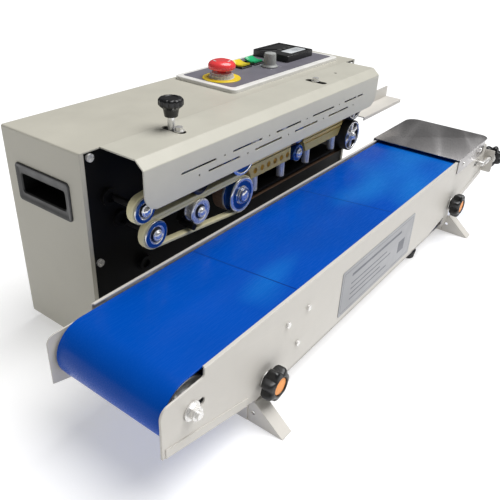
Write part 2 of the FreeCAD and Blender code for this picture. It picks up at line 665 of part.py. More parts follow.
AXLES = {
    "upper_infeed": (size("upper_pulley_x"), UPPER_PULLEY_Z, 153.0),
    "lower_infeed": (size("lower_pulley_x"), LOWER_PULLEY_Z, 153.0),
    "lower_idler": (size("idler_x"), LOWER_IDLER_Z, 153.0),
    "upper_press": (size("pressure_x"), UPPER_PRESS_Z, 163.6),
    "lower_press": (size("pressure_x"), LOWER_PRESS_Z, 163.6),
    "upper_exit": (size("exit_x"), UPPER_DRIVE, 155.2),
    "lower_exit": (size("exit_x"), LOWER_DRIVE, 155.2),
}
AXLE_POINTS = [(x, z) for x, z, _ in AXLES.values()]


def wheel(label, x, z, stations, bore):
    """Turned wheel: (y, radius) stations along its axle, bored for it."""
    body = body_for(label, x, 0, z)
    first, last = stations[0][0], stations[-1][0]
    points = [(bore, first)] + [(radius, y) for y, radius in stations] + [(bore, last)]
    revolve(body, "XY", [outline(points)])
    return body


def head_wheels():
    g0 = size("guide_front") - 0.3
    g1 = g0 + size("guide_width") + 0.6
    b0 = size("band_front") - 0.4
    b1 = b0 + size("band_width") + 0.8
    bore = size("head_axle") / 2 + size("bearing_gap")
    face = size("wheel_face") - 1.5

    def pulley(label, x, z, seat, rim):
        body = wheel(label, x, z, [
            (face, 8.2), (face, rim - 1.0), (face + 0.9, rim), (g0, rim), (g0, seat), (g1, seat),
            (g1, rim), (g1 + 1.6, rim), (g1 + 1.6, 9)], bore)
        doc.recompute()
        pocket(body, "XZ", [circle(0, 0, 2 * rim - 7), circle(0, 0, 18.4)], face, 1.3)

    pulley("upper_infeed_pulley", size("upper_pulley_x"), UPPER_PULLEY_Z,
           size("upper_pulley_seat"), size("upper_pulley_seat") + 2.3)
    pulley("lower_infeed_pulley", size("lower_pulley_x"), LOWER_PULLEY_Z,
           size("lower_pulley_seat"), size("lower_pulley_seat") + 2.6)
    for label, z in (("upper_idler_wheel", UPPER_IDLER_Z), ("lower_idler_wheel", LOWER_IDLER_Z)):
        radius = size("idler_radius")
        body = wheel(label, size("idler_x"), z, [
            (face, 8.2), (face, 15.4), (face + 0.9, 16.4), (g0, 16.4), (g0, radius), (g1, radius),
            (g1, 9), (g1 + 1, 9)], bore)
        pocket(body, "XZ", [circle(0, 0, 26), circle(0, 0, 18.4)], face, 1.3)
    shaft_bore = DRIVE_SHAFT / 2 + 0.02
    for label, z in (("upper_drive_wheel", UPPER_DRIVE), ("lower_drive_wheel", LOWER_DRIVE)):
        seat = size("guide_seat") - GAP
        body = wheel(label, size("drive_x"), z, [
            (face, 11), (face, 22.6), (face + 1.0, 23.8), (g0, 23.8), (g0, seat), (g1, seat),
            (g1, size("seat_radius") - GAP), (b1, size("seat_radius") - GAP), (b1, 12)], shaft_bore)
        pocket(body, "XZ", [circle(0, 0, 39), circle(0, 0, 24)], face, 1.3)
    for label, z in (("upper_exit_wheel", UPPER_DRIVE), ("lower_exit_wheel", LOWER_DRIVE)):
        radius = size("seat_radius") - GAP
        body = wheel(label, size("exit_x"), z, [
            (156.5, 8), (156.5, radius - 0.9), (157.4, radius), (b1, radius), (b1, 9)], bore)
        holes = [circle(15.6 * math.cos(a), 15.6 * math.sin(a), 9.5)
                 for a in (math.radians(30 + 60 * k) for k in range(6))]
        pocket(body, "XZ", holes, 155, 32)
    for label, z in (("upper_pressure_wheel", UPPER_PRESS_Z), ("lower_pressure_wheel", LOWER_PRESS_Z)):
        radius = size("pressure_radius")
        wheel(label, size("pressure_x"), z, [
            (b0 - 4.0, 7), (b0 - 4.0, radius - 1.2), (b0 - 3.0, radius), (b1, radius), (b1, 8)], bore)


def head_axles():
    pieces = []
    back = FRONT + 1.7 + size("plate_thickness")
    for name, (x, z, start) in AXLES.items():
        bar = cylinder(name + "_bar", x, start - 3.2, z, "head_axle", back - start + 5, "Y")
        nut = cylinder(name + "_cap", x, start - 3.2, z, 13.5, 3.6, "Y")
        pieces.append(joined(name + "_axle", [bar, nut]))
    group("wheel_axles", pieces)


def belts():
    """Closed guide belts and heat-proof sealing bands, each taut round its two wheels."""
    g0, b0 = size("guide_front"), size("band_front")
    thick, film = size("guide_thickness"), size("band_thickness")
    drive, out = size("drive_x"), size("exit_x")
    guides, bands = [], []
    for label, x, z, seat, centre in (
            ("upper_guide_belt", size("upper_pulley_x"), UPPER_PULLEY_Z, size("upper_pulley_seat"), UPPER_DRIVE),
            ("lower_guide_belt", size("lower_pulley_x"), LOWER_PULLEY_Z, size("lower_pulley_seat"), LOWER_DRIVE)):
        big = abs(centre - SEAM) - thick - 0.05
        body = body_for(label, own_file=False)
        guides.append(body)
        pad(body, "XZ", [loop(x, z, seat + GAP + thick, drive, centre, big + thick),
                         loop(x, z, seat + GAP, drive, centre, big)], g0, "guide_width")
    for label, centre in (("upper_sealing_band", UPPER_DRIVE), ("lower_sealing_band", LOWER_DRIVE)):
        body = body_for(label, own_file=False)
        bands.append(body)
        seat = size("seat_radius")
        pad(body, "XZ", [loop(drive, centre, seat + film, out, centre, seat + film),
                         loop(drive, centre, seat, out, centre, seat)], b0, "band_width")
    group("guide_belts", guides)
    group("sealing_bands", bands)


def blocks():
    """Heating and cooling blocks between the runs, carried on posts from two rails."""
    y0, deep, high = size("band_front") - 1.0, size("block_depth"), size("block_height")
    hot, cold = [], []
    for side, edge, sign in (("lower", BAND_DOWN - 0.2, -1), ("upper", BAND_UP + 0.2, 1)):
        far = edge + sign * high
        x0, x1 = size("heat_left"), size("heat_right")
        heat = body_for(f"{side}_heating_block", own_file=False)
        pad(heat, "XZ", [outline([(x0, edge), (x1, edge), (x1, far), (x0 + 9, far)])], y0, "block_depth")
        z_mid = edge + sign * high * 0.5
        pocket(heat, "XZ", [circle(355.5 + 15.4 * k, z_mid, 8.4) for k in range(6)], y0, 5.5)
        pocket(heat, "YZ", [circle(y0 + 11.5, z_mid, 6.6)], x0 - 1, x1 - x0 - 8)
        x0, x1 = size("cool_left"), size("cool_right")
        cool = body_for(f"{side}_cooling_block", own_file=False)
        pad(cool, "XZ", [outline([(x0, edge), (x1, edge), (x1 - 12, far), (x0 + 9, far)])], y0, "block_depth")
        pocket(cool, "XZ", [rectangle(x0 + 4, edge + sign * 5.2 - 0.9, x1 - 3, edge + sign * 5.2 + 0.9)],
               y0, 1.6)
        hot.append(heat)
        cold.append(cool)
    group("heating_blocks", hot)
    group("cooling_blocks", cold)
    heaters = [cylinder(f"heater_{i}", size("heat_left") - 5, y0 + 11.5, z, 6.5, 96, "X")
               for i, z in enumerate((BAND_DOWN - 0.2 - high / 2, BAND_UP + 0.2 + high / 2))]
    group("heater_cartridges", heaters)

    posts, rails = [], []
    for side, edge, sign in (("lower", BAND_DOWN - 0.2, -1), ("upper", BAND_UP + 0.2, 1)):
        start = edge + sign * high
        rail_z = start + sign * 23
        for i, x in enumerate((362, 428, 496, 573)):
            z = min(start, rail_z)
            posts.append(cylinder(f"{side}_post_{i}", x, y0 + 8, z, 12, abs(rail_z - start), "Z"))
        low, top = sorted((rail_z, rail_z + sign * 4))
        bar = block(f"{side}_rail_bar", 350, y0 + 2, low, 580, FRONT + 1.6, top)
        rails.append(bar)
    group("block_posts", posts)
    group("block_rails", rails)


# ---------------------------------------------------------------- drive inside the cabinet
def drive():
    y0 = size("gear_front")
    module, width = size("gear_module"), "gear_width"
    half_step = 180.0 / size("gear_teeth")
    for label, z, spin in (("upper_drive_gear", UPPER_DRIVE, 0.0), ("lower_drive_gear", LOWER_DRIVE, half_step)):
        gear = Part.Face(Part.Wire([e.toShape() for e in gear_outline(size("gear_teeth"), module * GEAR_SCALE)]))
        gear = gear.extrude(Vector(0, 0, size(width)))
        shaft = Part.makeCylinder(DRIVE_SHAFT / 2, 80, Vector(0, 0, -64.4))
        nut = Part.makeCylinder(9.5, 3.6, Vector(0, 0, -64.4))
        item = doc.addObject("Part::Feature", label)
        item.Shape = gear.fuse([shaft, nut]).removeSplitter()
        turn = Rotation(Vector(1, 0, 0), -90).multiply(Rotation(Vector(0, 0, 1), spin + 90))
        place(item, size("drive_x"), y0, z, turn)
        keep(item, label)

    pinion_x = size("drive_x") + (size("gear_teeth") + size("pinion_teeth")) / 2 * module * GEAR_SCALE
    face = Part.Face(Part.Wire([e.toShape() for e in gear_outline(size("pinion_teeth"), module * GEAR_SCALE)]))
    pinion = doc.addObject("Part::Feature", "motor_pinion")
    shaft = Part.makeCylinder(4, 30, Vector(0, 0, -2))
    pinion.Shape = face.extrude(Vector(0, 0, size(width))).fuse(shaft).removeSplitter()
    place(pinion, pinion_x, y0, LOWER_DRIVE, Rotation(Vector(1, 0, 0), -90).multiply(Rotation(Vector(0, 0, 1), PINION_SPIN)))
    keep(pinion, "motor_pinion")

    gearbox = block("gearbox_case", pinion_x - 28, y0 + 18, LOWER_DRIVE - 34, pinion_x + 28, y0 + 52, LOWER_DRIVE + 28)
    can = cylinder("motor_can", pinion_x, y0 + 50, LOWER_DRIVE - 3, 52, 62, "Y")
    bore = cylinder("gearbox_bore", pinion_x, y0 + 16, LOWER_DRIVE, 8.1, 14, "Y")
    shelf = block("motor_shelf", pinion_x - 34, y0 + 20, FLOOR + 1.6, pinion_x + 34, y0 + 50, LOWER_DRIVE - 33.9)
    keep(less("gear_motor", joined("gear_motor_solid", [gearbox, can, shelf]), bore), "gear_motor")


GEAR_SCALE = (UPPER_DRIVE - LOWER_DRIVE) / (size("gear_teeth") * size("gear_module"))
PINION_SPIN = 0.0


# ---------------------------------------------------------------- pressure screw
def pressure_screw():
    x, y = size("screw_x"), size("screw_y")
    top, broad = size("screw_top"), size("screw_knob") / 2
    slide_top = UPPER_IDLER_Z + 16
    knob = body_for("pressure_knob", x, y, 0)
    rod = size("screw_diameter") / 2
    revolve(knob, "XZ", [outline([
        (0, slide_top + 0.4), (rod, slide_top + 0.4), (rod, top - 21), (8.0, top - 21), (9.0, top - 12),
        (broad - 1.5, top - 9), (broad, top - 7.5, 0.8), (broad, top - 2, 1.5), (broad - 3, top, 1),
        (0, top)])])
    flutes = [circle(broad * 1.06 * math.cos(a), broad * 1.06 * math.sin(a), 4.2)
              for a in (2 * math.pi * k / 12 for k in range(12))]
    pocket(knob, "XY", flutes, top - 10, 12)

    slider = body_for("pressure_slider")
    pad(slider, "XZ", [outline([(x - 9, UPPER_IDLER_Z - 10, 2), (size("idler_x") + 10, UPPER_IDLER_Z - 10, 5),
                                (size("idler_x") + 10, UPPER_IDLER_Z + 8, 5), (x + 9, slide_top),
                                (x - 9, slide_top, 2)])], y - 8, FRONT + 1.4 - y + 8)
    pad(slider, "XZ", [circle(size("idler_x"), UPPER_IDLER_Z, 8)], 153 - 3.2, y - 8 - 149.8 + 0.5)
    pad(slider, "XZ", [circle(size("idler_x"), UPPER_IDLER_Z, 13.5)], 153 - 3.2, 3.6)

    arm = body_for("idler_arm")
    ax, az = size("idler_x"), LOWER_IDLER_Z
    pad(arm, "XZ", [outline([(ax - 21, az - 19, 4), (ax + 7, az - 8, 5), (ax + 7, az + 8, 5), (ax - 7, az + 8, 5)])],
        172, 8)
    pad(arm, "XZ", [circle(ax - 15.6, az - 13.4, 8)], 151.5, 21)
    pad(arm, "XZ", [circle(ax, az, 15)], 179, FRONT + 1.6 - 179)
    pocket(arm, "XZ", [circle(ax, az, size("head_axle") + 0.1)], 150, 60)


# ---------------------------------------------------------------- hood
def hood():
    left, right = size("hood_left"), size("hood_right")
    nose, crease, rear = size("hood_nose"), size("hood_crease"), size("hood_rear")
    top, band, low = size("hood_top"), size("hood_band"), size("hood_bottom")
    wall = size("sheet_wall")
    body = body_for("hood")
    section = outline([
        (rear, top), (crease, top, 2), (nose, band, 2), (nose, low), (nose + wall, low),
        (nose + wall, band - 0.4, 1), (crease + 0.5, top - wall, 1), (rear, top - wall)])
    pad(body, "YZ", [section], left, right - left)
    corner = size("hood_corner")
    for x, turn in ((left, 1), (right, -1)):
        cut = [Part.LineSegment(Vector(x, low - 1, 0), Vector(x + turn * corner, low - 1, 0)),
               Part.LineSegment(Vector(x + turn * corner, low - 1, 0), Vector(x + turn * corner, low, 0)),
               Part.Arc(Vector(x + turn * corner, low, 0),
                        Vector(x + turn * corner * (1 - math.sqrt(0.5)), low + corner * (1 - math.sqrt(0.5)), 0),
                        Vector(x, low + corner, 0)),
               Part.LineSegment(Vector(x, low + corner, 0), Vector(x - turn, low + corner, 0)),
               Part.LineSegment(Vector(x - turn, low + corner, 0), Vector(x - turn, low - 1, 0)),
               Part.LineSegment(Vector(x - turn, low - 1, 0), Vector(x, low - 1, 0))]
        pocket(body, "XZ", [cut], nose - 2, 6)
    high, long, pitch = size("vent_height") / 2, size("vent_length"), size("vent_pitch")
    cuts = []
    for row, (first, z, count) in enumerate(((182.0, 235.5, 5), (226.0, 225.2, 4))):
        for k in range(count):
            x = first + pitch * k
            cuts.append(rectangle(x, z - high, x + long, z + high, 0.6))
            if k < count - 1 or row == 1:
                cuts.append(circle(x + long + (pitch - long) / 2, z, 2.6))
    cuts.append(circle(226.0 - (pitch - long) / 2, 225.2, 2.6))
    pocket(body, "XZ", cuts, nose - 2, 6)
    hood_end = 199
    slots = [rectangle(211, 166, 222, hood_end, 5.4), rectangle(497.5, 157, 508.5, 191, 5.4),
             circle(566, 178, 4.5)]
    pocket(body, "XY", slots, top - 4, 8)

    screws = []
    for i, (x, y) in enumerate(((size("screw_x"), 174.8), (503, 174.8))):
        shank = cylinder(f"hood_screw_shank_{i}", x, y, 256, 5, 11, "Z")
        head = cylinder(f"hood_screw_head_{i}", x, y, top + 0.2, 11.8, 1.2, "Z")
        cap = doc.addObject("Part::Prism", f"hood_screw_cap_{i}")
        cap.Polygon = 6
        cap.Circumradius = 4.6
        cap.Height = 4.2
        place(cap, x, y, top + 1.2)
        screws.append(joined(f"hood_screw_{i}", [shank, head, cap]))
    return screws


# ---------------------------------------------------------------- control panel
def control_panel():
    x0, x1, y0, y1 = (size(f"panel_{edge}") for edge in ("left", "right", "front", "rear"))
    top = size("panel_top")
    body = body_for("control_panel")
    pad(body, "XY", [rectangle(x0, y0, x1, y1, 8)], ROOF + 0.1, top - ROOF - 0.1)
    fillet(body, 1.6, lambda p, e: abs(p.z - top) < 0.01)
    fascia_outline = rectangle(x0 + 9, y0 + 9, x1 - 7, y1 - 7, 6)
    pocket(body, "XY", [fascia_outline], top - 0.8, 2.0)
    fascia = body_for("fascia")
    pad(fascia, "XY", [rectangle(x0 + 9.2, y0 + 9.2, x1 - 7.2, y1 - 7.2, 5.8)], top - 0.75, 0.8)
    fascia_top = top + 0.05

    ex, ey = size("estop_x"), size("estop_y")
    base = body_for("estop_base", ex, ey, 0)
    ring = size("estop_plate") / 2
    revolve(base, "XZ", [outline([
        (6.08, fascia_top), (ring, fascia_top), (ring, fascia_top + 1.2, 0.5), (17.5, fascia_top + 1.6),
        (17.5, fascia_top + 5, 1), (15.0, fascia_top + 6.5), (15.0, fascia_top + 8.5),
        (6.08, fascia_top + 8.5)])])
    button = body_for("estop_button", ex, ey, 0)
    cap = size("estop_cap") / 2
    low = fascia_top + 12.5
    revolve(button, "XZ", [outline([
        (0, fascia_top + 4.2), (6, fascia_top + 4.2), (6, low), (13.5, low), (cap - 1, low + 0.8, 1.5),
        (cap, low + 5, 2.5), (cap - 5.5, low + 11.5, 6), (0, low + 12.6)])])

    bezels = []
    for i, x in enumerate((479.0, 511.0)):
        y = 292.0
        rim = block(f"bezel_rim_{i}", x - 13, y - 13, fascia_top, x + 13, y + 13, fascia_top + 2.2)
        well = block(f"bezel_well_{i}", x - 10.4, y - 10.4, fascia_top - 1, x + 10.4, y + 10.4, fascia_top + 4)
        bezels.append(less(f"bezel_{i}", rim, well))
    group("rocker_bezels", bezels)
    for label, x in (("yellow_rocker", 479.0), ("green_rocker", 511.0)):
        rocker(label, x, 292.0, fascia_top)

    knob = body_for("speed_knob", size("speed_x"), size("speed_y"), 0)
    revolve(knob, "XZ", [outline([
        (0, fascia_top + 0.4), (12.6, fascia_top + 0.4, 0.4), (12.6, fascia_top + 1.6, 0.6),
        (9.6, fascia_top + 4.2, 2), (8.9, fascia_top + 20.0, 1.2), (0, fascia_top + 20.6)])])
    pocket(knob, "XZ", [rectangle(-0.6, fascia_top + 19.4, 0.6, fascia_top + 22)], -9.5, 7)

    unit = body_for("temperature_controller")
    tall = fascia_top + 10
    pad(unit, "XY", [rectangle(549, 254, 623, 322, 3)], fascia_top + 0.02, tall - fascia_top)
    fillet(unit, 1.0, lambda p, e: p.z > tall - 0.5)
    pocket(unit, "XY", [rectangle(554, 259, 618, 317, 2)], tall - 0.9, 2.0)


def rocker(label, x, y, base):
    """Rocker cap with its raised end to the rear, turning on an axis along X."""
    body = body_for(label, x, y, base + 2.0)
    pad(body, "YZ", [outline([(-9.6, 0.2), (0, -1.6), (9.6, 2.6), (9.6, 6.2, 1), (0, 2.9, 30),
                              (-9.6, 3.6, 0.8)])], -9.8, 19.6)
    pad(body, "YZ", [circle(0, 0, 2.4)], -10.2, 20.4)


conveyor()
supports()
cabinet()
head_wheels()
head_axles()
belts()
blocks()
drive()
pressure_screw()
group("panel_screws", mounting_plate() + hood())
control_panel()
doc.recompute()

failed = [o.Name for o in doc.Objects if {"Invalid", "Error"} & set(o.State)]
failed += [p.Label for p in PARTS if p.Shape.isNull() or not p.Shape.isValid()]
if failed:
    raise RuntimeError("failed: " + ", ".join(failed))
for part in PARTS:
    part.Shape.exportStep(f"parts/{part.Label}.step")
print(len(PARTS), "parts written")
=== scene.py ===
"""Looks of the continuous band sealer: finishes, turned wheels, knobs, belts and the panel."""
import bmesh
import bpy
import json
import math
from mathutils import Matrix, Quaternion, Vector

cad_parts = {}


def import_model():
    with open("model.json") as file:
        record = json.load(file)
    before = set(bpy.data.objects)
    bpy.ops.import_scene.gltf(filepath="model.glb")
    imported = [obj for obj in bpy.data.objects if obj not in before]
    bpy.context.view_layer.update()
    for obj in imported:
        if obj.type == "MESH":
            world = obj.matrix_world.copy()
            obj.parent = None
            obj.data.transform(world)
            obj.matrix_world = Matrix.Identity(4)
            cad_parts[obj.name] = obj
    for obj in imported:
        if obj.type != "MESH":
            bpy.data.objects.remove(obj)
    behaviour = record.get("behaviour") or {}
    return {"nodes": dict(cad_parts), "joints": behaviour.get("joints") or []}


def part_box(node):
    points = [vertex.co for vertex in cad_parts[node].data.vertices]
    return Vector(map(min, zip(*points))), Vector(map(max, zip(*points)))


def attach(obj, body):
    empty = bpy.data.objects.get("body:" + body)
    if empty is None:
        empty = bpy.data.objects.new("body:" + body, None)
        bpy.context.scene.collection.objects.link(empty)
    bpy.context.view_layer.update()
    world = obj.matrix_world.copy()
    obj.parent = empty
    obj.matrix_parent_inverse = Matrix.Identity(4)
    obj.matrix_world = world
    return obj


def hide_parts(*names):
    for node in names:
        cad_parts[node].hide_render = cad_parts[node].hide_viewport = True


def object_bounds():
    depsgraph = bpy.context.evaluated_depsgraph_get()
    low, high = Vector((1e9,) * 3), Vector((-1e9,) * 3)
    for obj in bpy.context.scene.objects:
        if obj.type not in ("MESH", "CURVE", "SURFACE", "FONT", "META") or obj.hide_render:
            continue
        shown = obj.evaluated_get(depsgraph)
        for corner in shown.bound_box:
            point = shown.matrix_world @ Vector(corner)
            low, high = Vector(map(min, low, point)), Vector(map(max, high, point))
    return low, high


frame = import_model()
cad_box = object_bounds()
MM = 0.001
THIN_END = 0.9  # turned ends of a smaller radius, in millimetres, are closed by a cap
RIM_STEPS = 3  # flats that round an extruded rim
PRINT_BASE, PRINT_TOP = 0.02, 0.055  # the panel's printed marks above its plate, in millimetres


# ------------------------------------------------------------------ node materials
class Nodes:
    """One node material, built from a principled shader."""

    def __init__(self, name, rough=0.4, metal=0.0, **sockets):
        self.mat = bpy.data.materials.new(name)
        self.mat.use_nodes = True
        self.tree = self.mat.node_tree
        self.shader = self.tree.nodes["Principled BSDF"]
        self.shader.inputs["Roughness"].default_value = rough
        self.shader.inputs["Metallic"].default_value = metal
        for key, value in sockets.items():
            self.shader.inputs[key.replace("_", " ")].default_value = value
        self.coord = self.tree.nodes.new("ShaderNodeTexCoord").outputs["Object"]

    def node(self, kind, **inputs):
        node = self.tree.nodes.new(kind)
        for key, value in inputs.items():
            target = node.inputs[key.replace("_", " ")]
            if hasattr(value, "is_output"):
                self.tree.links.new(value, target)
            else:
                target.default_value = value
        return node

    def stretched(self, scale):
        mapping = self.node("ShaderNodeMapping", Vector=self.coord)
        mapping.inputs["Scale"].default_value = scale
        return mapping.outputs["Vector"]

    def noise(self, scale, detail=3.0, stretch=None, rough=0.5):
        vector = self.stretched(stretch) if stretch else self.coord
        return self.node("ShaderNodeTexNoise", Vector=vector, Scale=scale, Detail=detail,
                         Roughness=rough).outputs["Fac"]

    def ramp(self, fac, stops):
        """Colour ramp; stops are (position, colour)."""
        node = self.node("ShaderNodeValToRGB", Fac=fac)
        band = node.color_ramp
        while len(band.elements) < len(stops):
            band.elements.new(0.5)
        for element, (position, colour) in zip(band.elements, stops):
            element.position = position
            element.color = (*colour, 1.0)
        return node.outputs["Color"]

    def spread(self, fac, low, high, start=0.3, end=0.7):
        node = self.node("ShaderNodeMapRange", Value=fac)
        limits = {"From Min": start, "From Max": end, "To Min": low, "To Max": high}
        for key, value in limits.items():
            node.inputs[key].default_value = value
        return node.outputs["Result"]

    def mix(self, fac, a, b):
        node = self.tree.nodes.new("ShaderNodeMix")
        node.data_type = "RGBA"
        for socket, value in ((node.inputs[0], fac), (node.inputs[6], a), (node.inputs[7], b)):
            if hasattr(value, "is_output"):
                self.tree.links.new(value, socket)
            elif socket is node.inputs[0]:
                socket.default_value = value
            else:
                socket.default_value = (*value, 1.0)
        return node.outputs[2]

    def product(self, a, b):
        node = self.node("ShaderNodeMath")
        node.operation = "MULTIPLY"
        self.tree.links.new(a, node.inputs[0])
        self.tree.links.new(b, node.inputs[1])
        return node.outputs["Value"]

    def colour(self, output):
        self.tree.links.new(output, self.shader.inputs["Base Color"])

    def roughness(self, output):
        self.tree.links.new(output, self.shader.inputs["Roughness"])

    def bump(self, height, strength, distance=0.0004, edge=0.0):
        node = self.node("ShaderNodeBump", Height=height, Strength=strength, Distance=distance)
        if edge:
            bevel = self.node("ShaderNodeBevel", Radius=edge)
            bevel.samples = 4
            self.tree.links.new(bevel.outputs["Normal"], node.inputs["Normal"])
        self.tree.links.new(node.outputs["Normal"], self.shader.inputs["Normal"])

    def edge_highlight_and_wear(self, base, paler_edge, amount=0.6):
        """Convex edges painted paler in patches: a painted edge highlight, partly also thin, worn
        paint.
        """
        point = self.node("ShaderNodeNewGeometry").outputs["Pointiness"]
        patch = self.noise(40, 4)
        convex = self.spread(point, 0.0, amount, 0.53, 0.60)
        return self.mix(self.product(convex, patch), base, paler_edge)


def shade(colour, factor):
    """Colour made lighter or darker, held at full white."""
    return tuple(min(1.0, c * factor) for c in colour)


def powder_coat(name, colour, rough=0.42, **sockets):
    """Fine-grained paint with a cloudy tone, painted paler on its edges: a painted highlight, with
    some wear.
    """
    m = Nodes(name, rough, **sockets)
    cloud = m.noise(7, 4)
    base = m.ramp(cloud, [(0.30, shade(colour, 0.955)), (0.70, shade(colour, 1.03))])
    m.colour(m.edge_highlight_and_wear(base, shade(colour, 1.18)))
    m.roughness(m.spread(m.noise(14, 3), rough - 0.05, rough + 0.08))
    m.bump(m.noise(900, 2), 0.10, 0.0002, edge=0.0009)
    return m.mat


def brushed(name, colour, rough=0.28, stretch=(1, 30, 30), scale=60, metal=1.0):
    """Metal with its grain drawn out along the smallest of the stretches."""
    m = Nodes(name, rough, metal)
    grain = m.noise(scale, 5, stretch, 0.65)
    broad = m.noise(9, 3)
    tone = m.ramp(grain, [(0.30, shade(colour, 0.84)), (0.72, shade(colour, 1.10))])
    m.colour(m.mix(m.spread(broad, 0.0, 0.35), tone, shade(colour, 0.86)))
    m.roughness(m.spread(grain, rough - 0.07, rough + 0.13))
    m.bump(grain, 0.12, 0.0001, edge=0.0004)
    return m.mat


def brushed_with_painted_reflections(name, colour):
    """Fine brushed sheet with broad, soft bands of painted reflection across it, darker and
    lighter, the lightest a painted highlight.
    """
    m = Nodes(name, 0.30, 1.0)
    turn = m.node("ShaderNodeMapping", Vector=m.coord)
    turn.vector_type = "TEXTURE"
    turn.inputs["Rotation"].default_value = (0.0, 0.0, 0.39)
    turn.inputs["Scale"].default_value = (1.0, 0.10, 1.0)
    bands = m.node("ShaderNodeTexNoise", Vector=turn.outputs["Vector"], Scale=2.2, Detail=0.4)
    grain = m.noise(160, 4, (1, 14, 1), 0.6)
    # Painted reflection: broad dark and light bands in the sheet's colour, the brightest stop a
    # painted highlight.
    tone = m.ramp(bands.outputs["Fac"], [
        (0.36, shade(colour, 0.80)), (0.46, shade(colour, 0.96)),
        (0.54, shade(colour, 1.45)), (0.64, shade(colour, 0.96))])
    m.colour(m.mix(m.spread(grain, 0.0, 0.16), tone, shade(colour, 1.3)))
    m.roughness(m.spread(grain, 0.24, 0.38))
    m.bump(grain, 0.05, 0.0001, edge=0.0004)
    return m.mat


def moulded(name, colour, rough=0.45, grain=0.12, **sockets):
    """Plastic with a faint texture, painted a little paler on its edges: a painted highlight, with
    some wear.
    """
    m = Nodes(name, rough, **sockets)
    base = m.ramp(m.noise(30, 4), [(0.25, shade(colour, 0.90)), (0.75, shade(colour, 1.10))])
    m.colour(m.edge_highlight_and_wear(base, shade(colour, 1.5), 0.4))
    m.roughness(m.spread(m.noise(60, 3), rough - 0.06, rough + 0.10))
    m.bump(m.noise(1600, 2), grain, 0.0001)
    return m.mat


def machined(name, colour, rough=0.30, stretch=(1, 12, 12), metal=1.0):
    """Milled metal with tool marks and a little tarnish."""
    m = Nodes(name, rough, metal)
    marks = m.noise(120, 4, stretch)
    tarnish = m.noise(26, 5, rough=0.65)
    tone = m.ramp(marks, [(0.3, shade(colour, 0.86)), (0.7, shade(colour, 1.12))])
    m.colour(m.mix(m.spread(tarnish, 0.0, 0.4, 0.45, 0.75), tone, shade(colour, 0.68)))
    m.roughness(m.spread(tarnish, rough - 0.05, rough + 0.16))
    m.bump(marks, 0.12, 0.0001, edge=0.0003)
    return m.mat


def rubber_sheet(name, colour, rough, scuff, milky=0.0):
    """Smooth conveyor cover with faint scuffs along the travel and large, milky patches of a paler
    tone.
    """
    m = Nodes(name, rough, Specular_IOR_Level=0.09)
    cloud = m.noise(5, 3)
    base = m.ramp(cloud, [(0.3, shade(colour, 0.86)), (0.7, shade(colour, 1.10))])
    lines = m.noise(90, 5, (0.5, 9, 9), 0.7)
    milky_patches = m.mix(m.spread(m.noise(3.2, 2, (1.0, 2.4, 1.0)), 0.0, milky, 0.52, 0.72), base, scuff)
    m.colour(m.mix(m.spread(lines, 0.0, 0.04, 0.60, 0.80), milky_patches, scuff))
    m.roughness(m.spread(lines, rough - 0.04, rough + 0.12, 0.4, 0.75))
    weave = m.noise(700, 2)
    m.bump(weave, 0.02, 0.0002)
    return m.mat


def woven(name, colour, dark, scale=520):
    """Coated glass cloth."""
    m = Nodes(name, 0.55)
    warp = m.node("ShaderNodeTexWave", Vector=m.coord, Scale=scale, Distortion=0.4)
    weft = m.node("ShaderNodeTexWave", Vector=m.coord, Scale=scale, Distortion=0.4)
    weft.bands_direction = "Y"
    cross = m.product(warp.outputs["Fac"], weft.outputs["Fac"])
    base = m.ramp(cross, [(0.1, dark), (0.8, colour)])
    m.colour(m.mix(m.spread(m.noise(20, 4), 0.0, 0.5), base, shade(dark, 0.7)))
    m.bump(cross, 0.25, 0.0001)
    return m.mat


